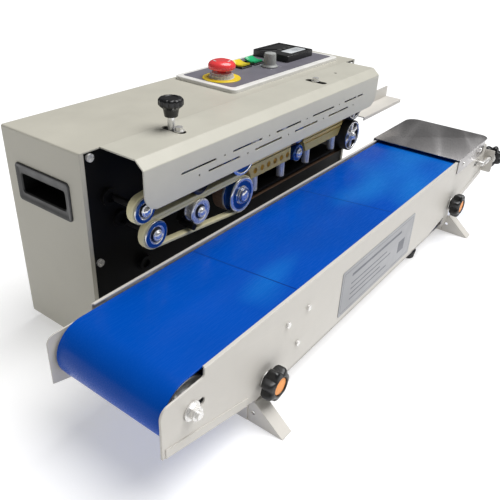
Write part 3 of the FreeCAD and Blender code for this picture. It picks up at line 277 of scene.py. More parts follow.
CREAM = (0.49, 0.472, 0.405)
MATS = {
    "housing": powder_coat("cream_powder_coat", CREAM, Specular_IOR_Level=0.35),
    "conveyor": powder_coat("conveyor_powder_coat", (0.61, 0.585, 0.54)),
    "hood": powder_coat("hood_powder_coat", (0.52, 0.505, 0.435)),
    "black": powder_coat("black_powder_coat", (0.0025, 0.0025, 0.0025), 0.55,
                         Specular_IOR_Level=0.16),
    "stainless": brushed_with_painted_reflections("brushed_stainless", (0.50, 0.485, 0.485)),
    "zinc": brushed("zinc_plate", (0.84, 0.83, 0.81), 0.24, (1, 1, 1), 90, 0.55),
    "post": brushed("bright_post", (0.92, 0.91, 0.89), 0.26, (9, 9, 1), 40, 0.30),
    "chrome": brushed("chrome_ring", (0.90, 0.90, 0.91), 0.10, (1, 1, 1), 60, 0.72),
    "aluminium": brushed("turned_aluminium", (0.66, 0.67, 0.68), 0.30, (1, 20, 1), 70),
    "steel": machined("gear_steel", (0.36, 0.36, 0.37), 0.34),
    "brass": machined("milled_brass", (1.0, 0.70, 0.22), 0.36, metal=0.25),
    "belt": rubber_sheet("blue_belt", (0.0002, 0.070, 0.43), 0.26, (0.012, 0.21, 0.62), 0.75),
    "seam": rubber_sheet("belt_seam", (0.0006, 0.02, 0.17), 0.4, (0.004, 0.04, 0.25)),
    "guide": rubber_sheet("cream_guide_belt", (0.86, 0.79, 0.50), 0.5, (0.50, 0.43, 0.24)),
    "band": woven("coated_glass_cloth", (0.21, 0.12, 0.07), (0.11, 0.06, 0.035)),
    "ring": moulded("blue_anodised_ring", (0.010, 0.075, 0.28), 0.18, 0.04,
                    Metallic=0.35, Coat_Weight=0.5),
    "rubber": moulded("black_rubber", (0.012, 0.012, 0.012), 0.62, 0.2),
    "knob": moulded("black_knob_plastic", (0.008, 0.008, 0.009), 0.34, 0.10),
    "orange": moulded("orange_cap_plastic", (1.0, 0.34, 0.06), 0.38, 0.06),
    "handle": moulded("grey_handle_plastic", (0.045, 0.045, 0.045), 0.42, 0.16),
    "cup": moulded("black_cup_plastic", (0.004, 0.004, 0.004), 0.5, 0.1),
    "motor": powder_coat("motor_paint", (0.05, 0.055, 0.06), 0.45),
    "panel": moulded("white_panel_plastic", (0.80, 0.79, 0.76), 0.36, 0.05),
    "fascia": moulded("fascia_film", (0.150, 0.144, 0.172), 0.40, 0.05),
    "label": moulded("label_film", (0.335, 0.34, 0.36), 0.34, 0.04),
    "label_line": moulded("label_border", (0.11, 0.115, 0.14), 0.4, 0.04),
    "yellow": moulded("yellow_gloss_plastic", (0.80, 0.60, 0.02), 0.26, 0.04),
    "red": moulded("red_gloss_plastic", (0.92, 0.055, 0.06), 0.22, 0.04, Coat_Weight=0.5),
    "collar": moulded("collar_plastic", (0.62, 0.62, 0.60), 0.28, 0.04),
    "rocker_yellow": moulded("yellow_rocker_plastic", (0.85, 0.66, 0.03), 0.24, 0.03),
    "rocker_green": moulded("green_rocker_plastic", (0.01, 0.42, 0.16), 0.24, 0.03),
    "grey": moulded("grey_knob_plastic", (0.36, 0.37, 0.36), 0.38, 0.05),
    "case": moulded("controller_case", (0.010, 0.010, 0.011), 0.38, 0.08),
    "screen": moulded("controller_window", (0.74, 0.77, 0.79), 0.18, 0.02),
    "digit": moulded("display_digit", (0.30, 0.33, 0.36), 0.3, 0.02),
    "mark": moulded("white_mark", (0.75, 0.75, 0.73), 0.4, 0.04),
    "supply": brushed("perforated_case", (0.5, 0.5, 0.5), 0.35, (1, 1, 1), 60),
}

CAD_FINISH = {
    "housing": ["cabinet_shell", "back_cover"],
    "conveyor": ["front_side_plate", "rear_side_plate", "support_frame", "front_feet",
                 "outfeed_guide"],
    "hood": ["hood"],
    "black": ["mounting_plate", "block_rails", "idler_arm", "pressure_slider"],
    "stainless": ["slider_bed"],
    "zinc": ["panel_screws", "roller_axles", "conveyor_fasteners"],
    "post": ["block_posts"],
    "aluminium": ["drive_roller", "tension_roller"],
    "steel": ["upper_drive_gear", "lower_drive_gear", "motor_pinion", "heater_cartridges"],
    "brass": ["heating_blocks", "cooling_blocks"],
    "motor": ["gear_motor", "conveyor_motor"],
    "handle": ["power_inlet"],
    "rubber": ["rubber_feet"],
    "supply": ["power_supply"],
    "panel": ["control_panel"],
    "fascia": ["fascia"],
}


for finish, names in CAD_FINISH.items():
    for node_name in names:
        surface = frame["nodes"][node_name].data
        surface.materials.clear()
        surface.materials.append(MATS[finish])


# ------------------------------------------------------------------ mesh helpers
def finished(name, mesh, finishes, body, nodes, smooth=35):
    """Object from a mesh in the row frame, riding a body and standing for CAD nodes."""
    for finish in finishes:
        mesh.materials.append(MATS[finish])
    mesh.validate()
    mesh.shade_smooth()
    mesh.set_sharp_from_angle(angle=math.radians(smooth))
    item = bpy.data.objects.new(name, mesh)
    bpy.context.scene.collection.objects.link(item)
    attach(item, body)
    if nodes:
        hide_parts(*nodes)
    return item


class Shape:
    """Collects faces with material numbers; everything is in millimetres about a local origin."""

    def __init__(self):
        self.bm = bmesh.new()

    def faces(self, rows, closed, finish=0, flip=False):
        """Skin between rows of points; closed rows wrap round."""
        rings = [[self.bm.verts.new(p) for p in row] for row in rows]
        count = len(rings[0])
        for k in range(len(rings) - 1):
            number = finish[k] if isinstance(finish, (list, tuple)) else finish
            for i in range(count if closed else count - 1):
                j = (i + 1) % count
                quad = [rings[k][i], rings[k][j], rings[k + 1][j], rings[k + 1][i]]
                face = self.bm.faces.new(quad[::-1] if flip else quad)
                face.material_index = number
        return rings

    def cap(self, ring, finish=0, flip=False):
        face = self.bm.faces.new(ring[::-1] if flip else ring)
        face.material_index = finish

    def turned(self, profile, finishes, axis="Y", centre=(0, 0, 0), segments=72, lobes=None):
        """Profile of (along, radius) turned about an axis.

        lobes(radius, along, angle) may reshape each ring.
        """
        rows = []
        for along, radius in profile:
            row = []
            for k in range(segments):
                angle = 2 * math.pi * k / segments
                r = lobes(radius, along, angle) if lobes else radius
                row.append(on_axis(axis, centre, along, r * math.cos(angle), r * math.sin(angle)))
            rows.append(row)
        rings = self.faces(rows, True, finishes)
        for end, flip in ((0, True), (-1, False)):
            if profile[end][1] < THIN_END:
                self.cap(rings[end], finishes[end], flip)

    def lathed(self, corners, axis, centre, segments, lobes=None, steps=3):
        """Turned piece from (along, radius, fillet, finish) corners."""
        profile, finishes = soft_profile(corners, steps)
        self.turned(profile, finishes, axis, centre, segments, lobes)

    def extruded(self, outline, low, high, axis="Z", finish=0, round_by=0.0, centre=(0, 0, 0)):
        """Outline of (u, v) corners between two heights along an axis, its two rims rounded."""
        turns = [math.pi / 2 * k / RIM_STEPS for k in range(RIM_STEPS + 1)] if round_by else [0.0]
        rim = [(round_by * (1 - math.sin(t)), round_by * (1 - math.cos(t))) for t in turns]
        loops = [(shrink(outline, back), low + rise) for back, rise in rim]
        loops += [(shrink(outline, back), high - rise) for back, rise in reversed(rim)]
        rings = self.faces([[on_axis(axis, centre, level, *corner) for corner in loop]
                            for loop, level in loops], True, finish)
        self.cap(rings[0], finish, True)
        self.cap(rings[-1], finish)

    def mesh(self, name):
        bmesh.ops.recalc_face_normals(self.bm, faces=self.bm.faces)
        self.bm.transform(Matrix.Scale(MM, 4))
        mesh = bpy.data.meshes.new(name)
        self.bm.to_mesh(mesh)
        self.bm.free()
        return mesh


def on_axis(axis, centre, along, u, v):
    """Point at a distance along an axis with two offsets across it, in millimetres."""
    x, y, z = centre
    if axis == "Y":
        return Vector((x + u, y + along, z + v))
    if axis == "X":
        return Vector((x + along, y + u, z + v))
    return Vector((x + u, y + v, z + along))


def shrink(outline, distance):
    """Outline moved inwards; corners are in anticlockwise order."""
    if not distance:
        return outline
    count = len(outline)
    result = []
    for i in range(count):
        p, q, r = (Vector(outline[k % count]) for k in (i - 1, i, i + 1))
        a, b = (q - p).normalized(), (r - q).normalized()
        normal = Vector((-(a + b).y, (a + b).x)).normalized()
        lean = max(0.35, normal.dot(Vector((-a.y, a.x))))
        result.append(tuple(q + normal * (distance / lean)))
    return result


def rounded(u0, v0, u1, v1, radius, steps=6):
    """Anticlockwise rectangle with rounded corners."""
    points = []
    left, right, bottom, top = u0 + radius, u1 - radius, v0 + radius, v1 - radius
    for cu, cv, start in ((right, top, 0), (left, top, 90), (left, bottom, 180),
                          (right, bottom, 270)):
        for k in range(steps + 1):
            angle = math.radians(start + 90 * k / steps)
            points.append((cu + radius * math.cos(angle), cv + radius * math.sin(angle)))
    return points


def soft_profile(corners, steps=3):
    """Rounded profile and its finishes from (along, radius, fillet, finish) corners."""
    points, finishes = [], []
    for i, (a, r, fillet, number) in enumerate(corners):
        here = Vector((a, r))
        if fillet and 0 < i < len(corners) - 1:
            back = Vector(corners[i - 1][:2]) - here
            ahead = Vector(corners[i + 1][:2]) - here
            fillet = min(fillet, back.length * 0.49, ahead.length * 0.49)
            start, end = here + back.normalized() * fillet, here + ahead.normalized() * fillet
            for k in range(steps + 1):
                t = k / steps
                point = start * (1 - t) ** 2 + here * (2 * t * (1 - t)) + end * t ** 2
                points.append(tuple(point))
                finishes.append(number)
        else:
            points.append((a, r))
            finishes.append(number)
    return points, finishes[:-1] if len(finishes) > 1 else finishes


def middle(node):
    """Centre of a node's box; like lowest and highest, in millimetres."""
    low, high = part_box(node)
    return (low + high) / 2 / MM


def lowest(node):
    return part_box(node)[0] / MM


def highest(node):
    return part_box(node)[1] / MM


def pivot(body):
    """Point on a body's joint axis; a lobed knob's box isn't centred on it."""
    return next(Vector(joint["pos_m"]) for joint in frame["joints"] if joint["child"] == body) / MM


# ------------------------------------------------------------------ wheels of the sealing head
def wheel(node, body, corners, finishes):
    """Turned wheel from (distance behind its face, radius, fillet, finish) corners."""
    centre = middle(node)
    centre.y = lowest(node).y
    shape = Shape()
    shape.lathed(corners, "Y", centre, 80)
    finished(node + "_turned", shape.mesh(node), finishes, body, [node])


def face_rings(rim, depth, seat, back, hub=5.0):
    """Face of a head wheel: dark recess, chrome step, broad rim, then its seat and back flange."""
    flange = max(seat, rim) - 1.5
    return [
        (4.0, hub, 0, 0), (1.2, hub, 0.3, 0), (0.8, hub + 0.8, 0.3, 2),
        (1.5, rim * 0.46, 0.2, 2), (1.5, rim * 0.55, 0.2, 0), (0.5, rim * 0.62, 0.2, 0),
        (0.2, rim * 0.68, 0.2, 1), (0.0, rim * 0.74, 0.3, 1), (0.0, rim * 0.88, 0.3, 1),
        (0.9, rim - 0.1, 0.5, 0), (depth, rim - 0.1, 0.3, 0), (depth, seat, 0.3, 1),
        (back, seat, 0.3, 1), (back, flange, 0.2, 0), (back + 1.4, flange, 0.3, 0),
        (back + 1.4, hub, 0, 0)]


HEAD_FINISHES = ["chrome", "ring", "case"]
GUIDE_START, GUIDE_END = 2.7, 12.3
INFEED_SEATS = {"upper": 12.5, "lower": 14.0}
# The upper idler is made black all over: painted shade, for the dark under the hood.
for node_name, seat, finishes in (
        ("upper_infeed_pulley", INFEED_SEATS["upper"], HEAD_FINISHES),
        ("lower_infeed_pulley", INFEED_SEATS["lower"], HEAD_FINISHES),
        ("upper_idler_wheel", 13.6, ["case", "case", "case"]),
        ("lower_idler_wheel", 13.6, ["chrome", "zinc", "case"])):
    rim_radius = (highest(node_name).x - lowest(node_name).x) / 2
    if node_name == "upper_idler_wheel":
        rim_radius = seat + 0.4
    wheel(node_name, node_name, face_rings(rim_radius, GUIDE_START, seat, GUIDE_END),
          finishes)

for side in ("upper", "lower"):
    node_name = f"{side}_drive_wheel"
    wheel(node_name, f"{side}_drive", [
        (4.0, 6.2, 0, 0), (0.8, 6.2, 0.3, 0), (0.4, 11.5, 0.4, 0), (1.4, 12.4, 0.2, 1),
        (1.4, 18.6, 0.3, 1), (0.3, 19.6, 0.3, 0), (0.0, 22.0, 0.5, 0), (1.0, 23.7, 0.5, 0),
        (GUIDE_START, 23.7, 0.3, 0), (GUIDE_START, 21.2, 0.2, 1), (GUIDE_END, 21.2, 0.2, 1),
        (GUIDE_END, 24.7, 0.3, 0), (29.8, 24.7, 0.4, 0), (29.8, 6.2, 0, 0)], HEAD_FINISHES)
    node_name = f"{side}_pressure_wheel"
    wheel(node_name, node_name, [
        (3.0, 4.2, 0, 0), (0.6, 4.2, 0.3, 0), (0.2, 7.6, 0.4, 1), (0.8, 8.4, 0.2, 1),
        (0.0, 11.0, 0.4, 1), (1.0, 12.6, 0.6, 1), (19.6, 12.6, 0.6, 1), (19.6, 4.2, 0, 0)],
        ["chrome", "ring"])


def exit_wheel(side):
    """Spoked exit wheel: black rim with a chrome inner lip, bright hub and spokes between six
    windows.
    """
    node = f"{side}_exit_wheel"
    centre, face = middle(node), lowest(node).y
    width = highest(node).y - face
    centre.y = face
    shape = Shape()
    shape.lathed([
        (width, 24.6, 0, 0), (width, 20.6, 0.4, 0), (0.6, 20.6, 0.4, 2), (0.0, 21.4, 0.4, 2),
        (0.0, 23.0, 0.5, 0), (0.9, 24.6, 0.5, 0), (width, 24.6, 0, 0)], "Y", centre, 80)
    shape.lathed([
        (width, 4.2, 0, 1), (width, 9.0, 0.4, 1), (0.8, 9.0, 0.6, 1), (0.2, 8.0, 0.4, 1),
        (0.2, 5.4, 0.3, 2), (1.2, 4.2, 0, 2), (width, 4.2, 0, 1)], "Y", centre, 60)
    spoke = [(-2.6, 8.2), (2.6, 8.2), (3.4, 21.2), (-3.4, 21.2)]
    for k in range(6):
        turn = Matrix.Rotation(math.radians(60 * k), 3, "Y")
        start = len(shape.bm.verts)
        shape.extruded(spoke, 1.4, width - 1.2, "Y", 1, 0.5)
        shape.bm.verts.ensure_lookup_table()
        for vert in shape.bm.verts[start:]:
            vert.co = turn @ vert.co + centre
    finished(node + "_spoked", shape.mesh(node), ["rubber", "zinc", "chrome"], node, [node])


exit_wheel("upper")
exit_wheel("lower")


def nut_profile(face, radius, tall):
    """Domed nut on its washer, standing in front of a wheel's face."""
    return [
        (face - tall, 0.5, 0, 0), (face - tall, radius * 0.36, 0.6, 0),
        (face - tall * 0.72, radius * 0.74, 1.0, 0), (face - tall * 0.40, radius * 0.82, 0.5, 0),
        (face - tall * 0.36, radius, 0.2, 0), (face - 0.2, radius, 0.2, 0)]


def axle_nuts():
    """Nuts on the fixed axles in one piece, and one on each drive shaft."""
    back = highest("wheel_axles").y
    shape = Shape()
    for node in ("upper_infeed_pulley", "lower_infeed_pulley", "lower_idler_wheel",
                 "upper_pressure_wheel", "lower_pressure_wheel", "upper_exit_wheel",
                 "lower_exit_wheel"):
        at, face = middle(node), lowest(node).y
        axle = [(face - 0.2, 4.0, 0, 1), (back, 4.0, 0, 1), (back, 0.5, 0, 1)]
        shape.lathed(nut_profile(face, 6.6, 4.4) + axle, "Y", Vector((at.x, 0, at.z)), 48)
    finished("axle_nuts", shape.mesh("axle_nuts"), ["chrome", "case"], "machine",
             ["wheel_axles"])
    for side in ("upper", "lower"):
        node = f"{side}_drive_wheel"
        at, face = middle(node), lowest(node).y
        shape = Shape()
        shape.lathed(nut_profile(face, 11.0, 4.9) + [(face - 0.2, 10.0, 0, 0)], "Y",
                     Vector((at.x, 0, at.z)), 64)
        finished(f"{side}_drive_nut", shape.mesh("drive_nut"), ["chrome"], f"{side}_drive", [])


axle_nuts()


# ------------------------------------------------------------------ belts
def round_pair(x0, z0, r0, x1, z1, r1, steps=36):
    """Closed path round two circles with its outward normals."""
    span = math.hypot(x1 - x0, z1 - z0)
    heading = math.atan2(z1 - z0, x1 - x0)
    lean = math.acos((r0 - r1) / span)
    path = []
    for x, z, r, start, end in ((x0, z0, r0, heading + lean, heading + 2 * math.pi - lean),
                                (x1, z1, r1, heading - lean, heading + lean)):
        for k in range(steps + 1):
            angle = start + (end - start) * k / steps
            normal = (math.cos(angle), math.sin(angle))
            path.append(((x + r * normal[0], z + r * normal[1]), normal))
    return path


def run_of(path, shortest):
    """Adds points along the long straight runs of a closed path."""
    dense = []
    for i, (point, normal) in enumerate(path):
        dense.append((point, normal))
        following = path[(i + 1) % len(path)][0]
        length = math.dist(point, following)
        pieces = int(length / shortest)
        for k in range(1, pieces):
            t = k / pieces
            between = tuple(a + (b - a) * t for a, b in zip(point, following))
            dense.append((between, normal))
    return dense


def belt_loop(shape, path, y0, y1, thickness, finish, edge=0.4):
    """Belt of rounded section along a closed path; the path is its inner surface."""
    section = rounded(y0, 0, y1, thickness, min(edge, thickness * 0.45), 3)
    rows = [[Vector((x + across * rise, y, z + up * rise)) for y, rise in section]
            for (x, z), (across, up) in path]
    shape.faces(rows + [rows[0]], True, finish)
    bmesh.ops.remove_doubles(shape.bm, verts=shape.bm.verts, dist=1e-4)


def guide_and_sealing_belts():
    """Two guide belts from the infeed pulleys to the drive wheels, two bands on to the exit."""
    drive = {side: middle(f"{side}_drive_wheel") for side in ("upper", "lower")}
    low, high = lowest("guide_belts"), highest("guide_belts")
    shape = Shape()
    for side, seat in INFEED_SEATS.items():
        pulley = middle(f"{side}_infeed_pulley")
        path = round_pair(pulley.x, pulley.z, seat + 0.3, drive[side].x, drive[side].z, 21.5)
        belt_loop(shape, run_of(path, 12), low.y, high.y, 4.0, 0, 0.9)
    finished("guide_belt_pair", shape.mesh("guides"), ["guide"], "machine", ["guide_belts"])
    low, high = lowest("sealing_bands"), highest("sealing_bands")
    shape = Shape()
    for side in ("upper", "lower"):
        out = middle(f"{side}_exit_wheel")
        path = round_pair(drive[side].x, drive[side].z, 25.0, out.x, out.z, 25.0)
        belt_loop(shape, run_of(path, 12), low.y, high.y, 0.5, 0, 0.15)
    finished("sealing_band_pair", shape.mesh("bands"), ["band"], "machine", ["sealing_bands"])


guide_and_sealing_belts()


def conveyor_belt():
    """Blue belt round both rollers, and the seams of its splice on the top run."""
    thickness = 2.0
    low, high = lowest("conveyor_belt"), highest("conveyor_belt")
    drive, tail = middle("drive_roller"), middle("tension_roller")
    inner = (high.z - low.z) / 2 - thickness
    shape = Shape()
    path = run_of(round_pair(drive.x, drive.z, inner, tail.x, tail.z, inner, 48), 10)
    belt_loop(shape, path, low.y, high.y, thickness, 0, 0.7)
    finished("blue_conveyor_belt", shape.mesh("belt"), ["belt"], "conveyor", ["conveyor_belt"])
    seams, front = Shape(), lowest("front_side_plate").x
    for x, lean in ((front + 215, -13), (front + 453, -24)):
        corners = [(x - 0.6, low.y + 1), (x + 0.6, low.y + 1), (x + 0.6 + lean, high.y - 1),
                   (x - 0.6 + lean, high.y - 1)]
        seams.extruded(corners, high.z - 0.3, high.z + 0.04)
    finished("belt_seams", seams.mesh("seams"), ["seam"], "conveyor", [])


conveyor_belt()


# ------------------------------------------------------------------ knobs
def star_lobes(count, depth, rim, foot):
    """Lobed outline that fades towards the hub."""
    def reach(radius, along, angle):
        share = max(0.0, min(1.0, (radius - foot) / (rim - foot)))
        wave = 0.5 + 0.5 * math.cos(count * angle)
        return radius - depth * share * (1 - wave ** 0.75)
    return reach


def star_knob(node, axis, sign):
    """Seven-lobed clamping knob with its orange cap, hub, washer and stud."""
    low, high, centre = lowest(node), highest(node), pivot(node)
    face = {"Y": low.y, "X": high.x}[axis]
    stud_end = {"Y": high.y, "X": low.x}[axis]
    reach = abs(stud_end - face)
    across = {"Y": Vector((centre.x, 0, centre.z)), "X": Vector((0, centre.y, centre.z))}[axis]
    rim = (high.z - low.z) / 2 + 0.25
    profile, numbers = soft_profile([
        (1.9, 0.5, 0, 1), (2.0, 5.0, 0.4, 1), (2.4, 9.9, 0.5, 1), (3.2, 10.3, 0.2, 1),
        (3.4, 10.6, 0.1, 0), (1.5, 11.0, 0.4, 0), (0.9, 12.2, 0.8, 0), (2.6, rim - 2.2, 2.5, 0),
        (5.4, rim, 2.0, 0), (12.5, rim, 2.0, 0), (16.0, rim - 1.4, 2.0, 0), (17.0, 13.0, 1.0, 0),
        (17.2, 9.2, 0.5, 0), (19.6, 9.0, 0.5, 0), (19.7, 9.9, 0.2, 2), (21.1, 9.9, 0.2, 2),
        (21.1, 3.9, 0.1, 2), (reach, 3.9, 0.4, 2), (reach, 0.5, 0, 2)], 4)
    profile = [(face + sign * along, radius) for along, radius in profile]
    shape = Shape()
    shape.turned(profile, numbers, axis, across, 140, star_lobes(7, 4.6, rim, 12.4))
    finished(node + "_moulded", shape.mesh(node), ["knob", "orange", "zinc"], node, [node],
             40)


star_knob("left_star_knob", "Y", 1)
star_knob("right_star_knob", "Y", 1)
star_knob("tension_knob", "X", -1)


def pressure_knob():
    """Fluted knob on its chrome screw."""
    low, high, centre = lowest("pressure_knob"), highest("pressure_knob"), middle("pressure_knob")
    rim, top = (high.x - low.x) / 2 + 0.1, high.z
    hub = 9.0

    def flutes(radius, along, angle):
        share = max(0.0, min(1.0, (radius - hub) / (rim - hub)))
        return radius - 1.3 * share * (0.5 + 0.5 * math.cos(12 * angle)) ** 3

    shape = Shape()
    shape.lathed([
        (low.z, 0.5, 0, 1), (low.z, 4.5, 0.5, 1), (top - 21.2, 4.5, 0, 1),
        (top - 21.2, 7.4, 0.6, 0), (top - 12.6, 8.9, 0.8, 0), (top - 9.6, 12.4, 0.8, 0),
        (top - 8.2, rim, 0.8, 0), (top - 2.4, rim, 1.2, 0), (top - 0.6, rim - 1.8, 0.8, 0),
        (top - 0.1, 8.2, 0.4, 0), (top - 0.9, 7.6, 0.3, 0), (top - 0.9, 0.5, 0, 0)],
        "Z", Vector((centre.x, centre.y, 0)), 144, flutes)
    finished("pressure_knob_moulded", shape.mesh("pressure_knob"), ["knob", "chrome"],
             "pressure_knob", ["pressure_knob"], 40)


pressure_knob()


# ------------------------------------------------------------------ control panel
def panel_marks():
    """Printed scale of the speed knob and a bar behind each rocker."""
    plate = highest("control_panel").z
    low, high = plate + PRINT_BASE, plate + PRINT_TOP
    marks, knob = Shape(), middle("speed_knob")
    inner, outer, half = 15.6, 18.0, 0.3
    for k in range(11):
        angle = math.radians(225 - 27 * k)
        along = Vector((math.cos(angle), math.sin(angle)))
        across = Vector((-along.y, along.x)) * half
        a, b = along * inner, along * outer
        marks.extruded([(knob.x + p.x, knob.y + p.y)
                        for p in (a - across, b - across, b + across, a + across)], low, high)
    for node in ("yellow_rocker", "green_rocker"):
        at = middle(node)
        marks.extruded(rounded(at.x - 6, at.y + 15, at.x + 6, at.y + 16, 0.4, 3), low, high)
    finished("panel_marks", marks.mesh("marks"), ["mark"], "machine", [])


panel_marks()


def stop_button():
    """Stop button: yellow base ring with its ribbed collar, and the red cap with three arcs."""
    low, high = lowest("estop_base"), highest("estop_base")
    centre = Vector((*middle("estop_base").xy, 0))
    base, ring = low.z, (high.x - low.x) / 2

    def ribs(radius, along, angle):
        if 14.9 < radius < 17.3 and along > base + 1.7:
            return radius - 0.5 * (0.5 + 0.5 * math.cos(24 * angle))
        return radius

    shape = Shape()
    shape.lathed([
        (base + 8.5, 6.1, 0, 1), (base + 8.5, 14.4, 0.6, 1), (base + 6.6, 15.0, 0.3, 1),
        (base + 6.2, 16.6, 0.4, 1), (base + 1.8, 17.2, 0.4, 1), (base + 1.6, 18.4, 0.3, 0),
        (base + 1.3, ring - 0.6, 0.5, 0), (base + 0.6, ring, 0.4, 0), (base, ring, 0.1, 0),
        (base, 6.1, 0, 0)], "Z", centre, 144, ribs)
    finished("stop_button_base", shape.mesh("stop_base"), ["yellow", "collar"], "machine",
             ["estop_base"])

    low, high = lowest("estop_button"), highest("estop_button")
    cap, top = (high.x - low.x) / 2, high.z
    shape = Shape()
    shape.lathed([
        (low.z, 0.5, 0, 0), (low.z, 5.9, 0, 0), (top - 12.4, 5.9, 0.5, 0),
        (top - 12.4, 13.4, 0.6, 0), (top - 11.6, cap - 1.2, 1.2, 0), (top - 8.0, cap, 1.8, 0),
        (top - 3.6, cap - 1.8, 3.0, 0), (top - 0.4, cap - 7.0, 3.0, 0), (top - 0.2, 6.0, 1.0, 0),
        (top - 0.5, 0.5, 0, 0)], "Z", centre, 96, steps=5)
    for k in range(3):
        start = math.radians(20 + 120 * k)
        arc = [(centre.x + r * math.cos(start + 0.08 * step),
                centre.y + r * math.sin(start + 0.08 * step))
               for r, sweep in ((12.2, range(0, 9)), (10.9, range(8, -1, -1))) for step in sweep]
        shape.extruded(arc[::-1], top - 0.7, top - 0.15, "Z", 1)
    finished("stop_button_cap", shape.mesh("stop_cap"), ["red", "mark"], "estop_button",
             ["estop_button"])


stop_button()


def rocker_frames():
    """Square bezels round the two rockers."""
    low, high = lowest("rocker_bezels"), highest("rocker_bezels")
    shape = Shape()
    for node in ("yellow_rocker", "green_rocker"):
        at = middle(node)
        outer = rounded(at.x - 13, at.y - 13, at.x + 13, at.y + 13, 2.4, 5)
        inner = rounded(at.x - 10.5, at.y - 10.5, at.x + 10.5, at.y + 10.5, 1.2, 5)
        levels = [(outer, low.z), (outer, high.z - 0.7), (shrink(outer, 0.7), high.z),
                  (inner, high.z - 0.2), (inner, low.z), (outer, low.z)]
        shape.faces([[Vector((u, v, z)) for u, v in loop] for loop, z in levels], True)
    finished("rocker_frames", shape.mesh("bezels"), ["case"], "machine", ["rocker_bezels"])


def rocker_cap(node, finish):
    """Hollow-topped rocker, its underside sloping away from the axis so that it can tip."""
    low, high, at = lowest(node), highest(node), middle(node)
    half = (high.x - low.x) / 2
    section = []
    for k in range(13):
        t = k / 12
        hollow = 2.9 * math.sin(math.pi * t) * 0.72
        section.append((low.y + (high.y - low.y) * t, 3.6 + 2.7 * t - hollow))
    rows = []
    for x, lower in ((-half, 0.9), (-half + 0.8, 0.1), (half - 0.8, 0.1), (half, 0.9)):
        upper = [Vector((at.x + x, y, low.z + 1.6 + z - lower)) for y, z in section]
        under = [Vector((at.x + x, y, low.z + 0.8 + max((at.y - y) * 0.18, (y - at.y) * 0.43)))
                 for y, _ in reversed(section)]
        rows.append(upper + under)
    shape = Shape()
    rings = shape.faces(rows, True)
    shape.cap(rings[0], 0, True)
    shape.cap(rings[-1], 0)
    finished(node + "_cap", shape.mesh(node), [finish], node, [node], 50)


rocker_frames()
rocker_cap("yellow_rocker", "rocker_yellow")
rocker_cap("green_rocker", "rocker_green")


def speed_knob():
    """Knurled grey knob with a skirt and a white pointer."""
    low, high = lowest("speed_knob"), highest("speed_knob")
    centre = Vector((*middle("speed_knob").xy, 0))

    def knurl(radius, along, angle):
        if 8.5 < radius < 10.2 and along > low.z + 3.4:
            return radius - 0.3 * (0.5 + 0.5 * math.cos(30 * angle))
        return radius

    shape = Shape()
    shape.lathed([
        (low.z, 0.5, 0, 0), (low.z, 12.5, 0.2, 0), (low.z + 1.0, 12.5, 0.5, 0),
        (low.z + 2.2, 11.0, 0.8, 0), (low.z + 3.6, 9.8, 1.0, 0), (high.z - 1.4, 8.9, 0.3, 0),
        (high.z - 0.3, 8.0, 0.6, 0), (high.z - 0.1, 0.5, 0, 0)], "Z", centre, 180, knurl)
    pointer = rounded(centre.x - 0.5, centre.y - 8.2, centre.x + 0.5, centre.y - 2.0, 0.3, 3)
    shape.extruded(pointer, high.z - 0.4, high.z - 0.02, "Z", 1)
    finished("speed_knob_moulded", shape.mesh("speed_knob"), ["grey", "mark"], "speed_knob",
             ["speed_knob"])


speed_knob()

SEGMENTS = {"1": "bc", "8": "abcdefg", "0": "abcdef"}


def digit(shape, figure, x, y, size, level, finish):
    """Seven-segment figure lying on a horizontal face."""
    wide, tall, half = size * 0.55, size, size * 0.06
    bars = {
        "a": (0, tall, wide, tall), "d": (0, 0, wide, 0), "g": (0, tall / 2, wide, tall / 2),
        "f": (0, tall / 2, 0, tall), "e": (0, 0, 0, tall / 2), "b": (wide, tall / 2, wide, tall),
        "c": (wide, 0, wide, tall / 2)}
    for key in SEGMENTS[figure]:
        u0, v0, u1, v1 = bars[key]
        left, right, bottom, top = x + u0 - half, x + u1 + half, y + v0 - half, y + v1 + half
        shape.extruded([(left, bottom), (right, bottom), (right, top), (left, top)],
                       level - 0.02, level + 0.04, "Z", finish)


def controller():
    """Temperature controller: case, pale window with a generic number and four keys."""
    low, high = lowest("temperature_controller"), highest("temperature_controller")
    top = high.z
    face = top - 0.6
    shape = Shape()
    outer = rounded(low.x, low.y, high.x, high.y, 3, 5)
    lip = shrink(outer, 5.0)
    levels = [(outer, low.z), (outer, top - 0.8), (shrink(outer, 0.8), top), (lip, top),
              (shrink(lip, 0.5), face)]
    rings = shape.faces([[Vector((u, v, z)) for u, v in loop] for loop, z in levels], True)
    shape.cap(rings[0], 0, True)
    shape.cap(rings[-1], 0)
    window_x, window_y = low.x + 22, low.y + 9
    shape.extruded(rounded(window_x, window_y, high.x - 7, low.y + 29, 3, 5),
                   face - 0.1, face + 0.35, "Z", 1, 0.2)
    for k, figure in enumerate("180"):
        digit(shape, figure, window_x + 14 + 8 * k, window_y + 4.5, 9, face + 0.36, 2)
    for k in range(4):
        x = low.x + 13 + k * 13.5
        shape.extruded(rounded(x, low.y + 34, x + 8.5, low.y + 40, 1.6, 4),
                       face - 0.1, face + 0.5, "Z", 3, 0.25)
    finished("controller_unit", shape.mesh("controller"), ["case", "screen", "digit", "handle"],
             "machine", ["temperature_controller"])


controller()


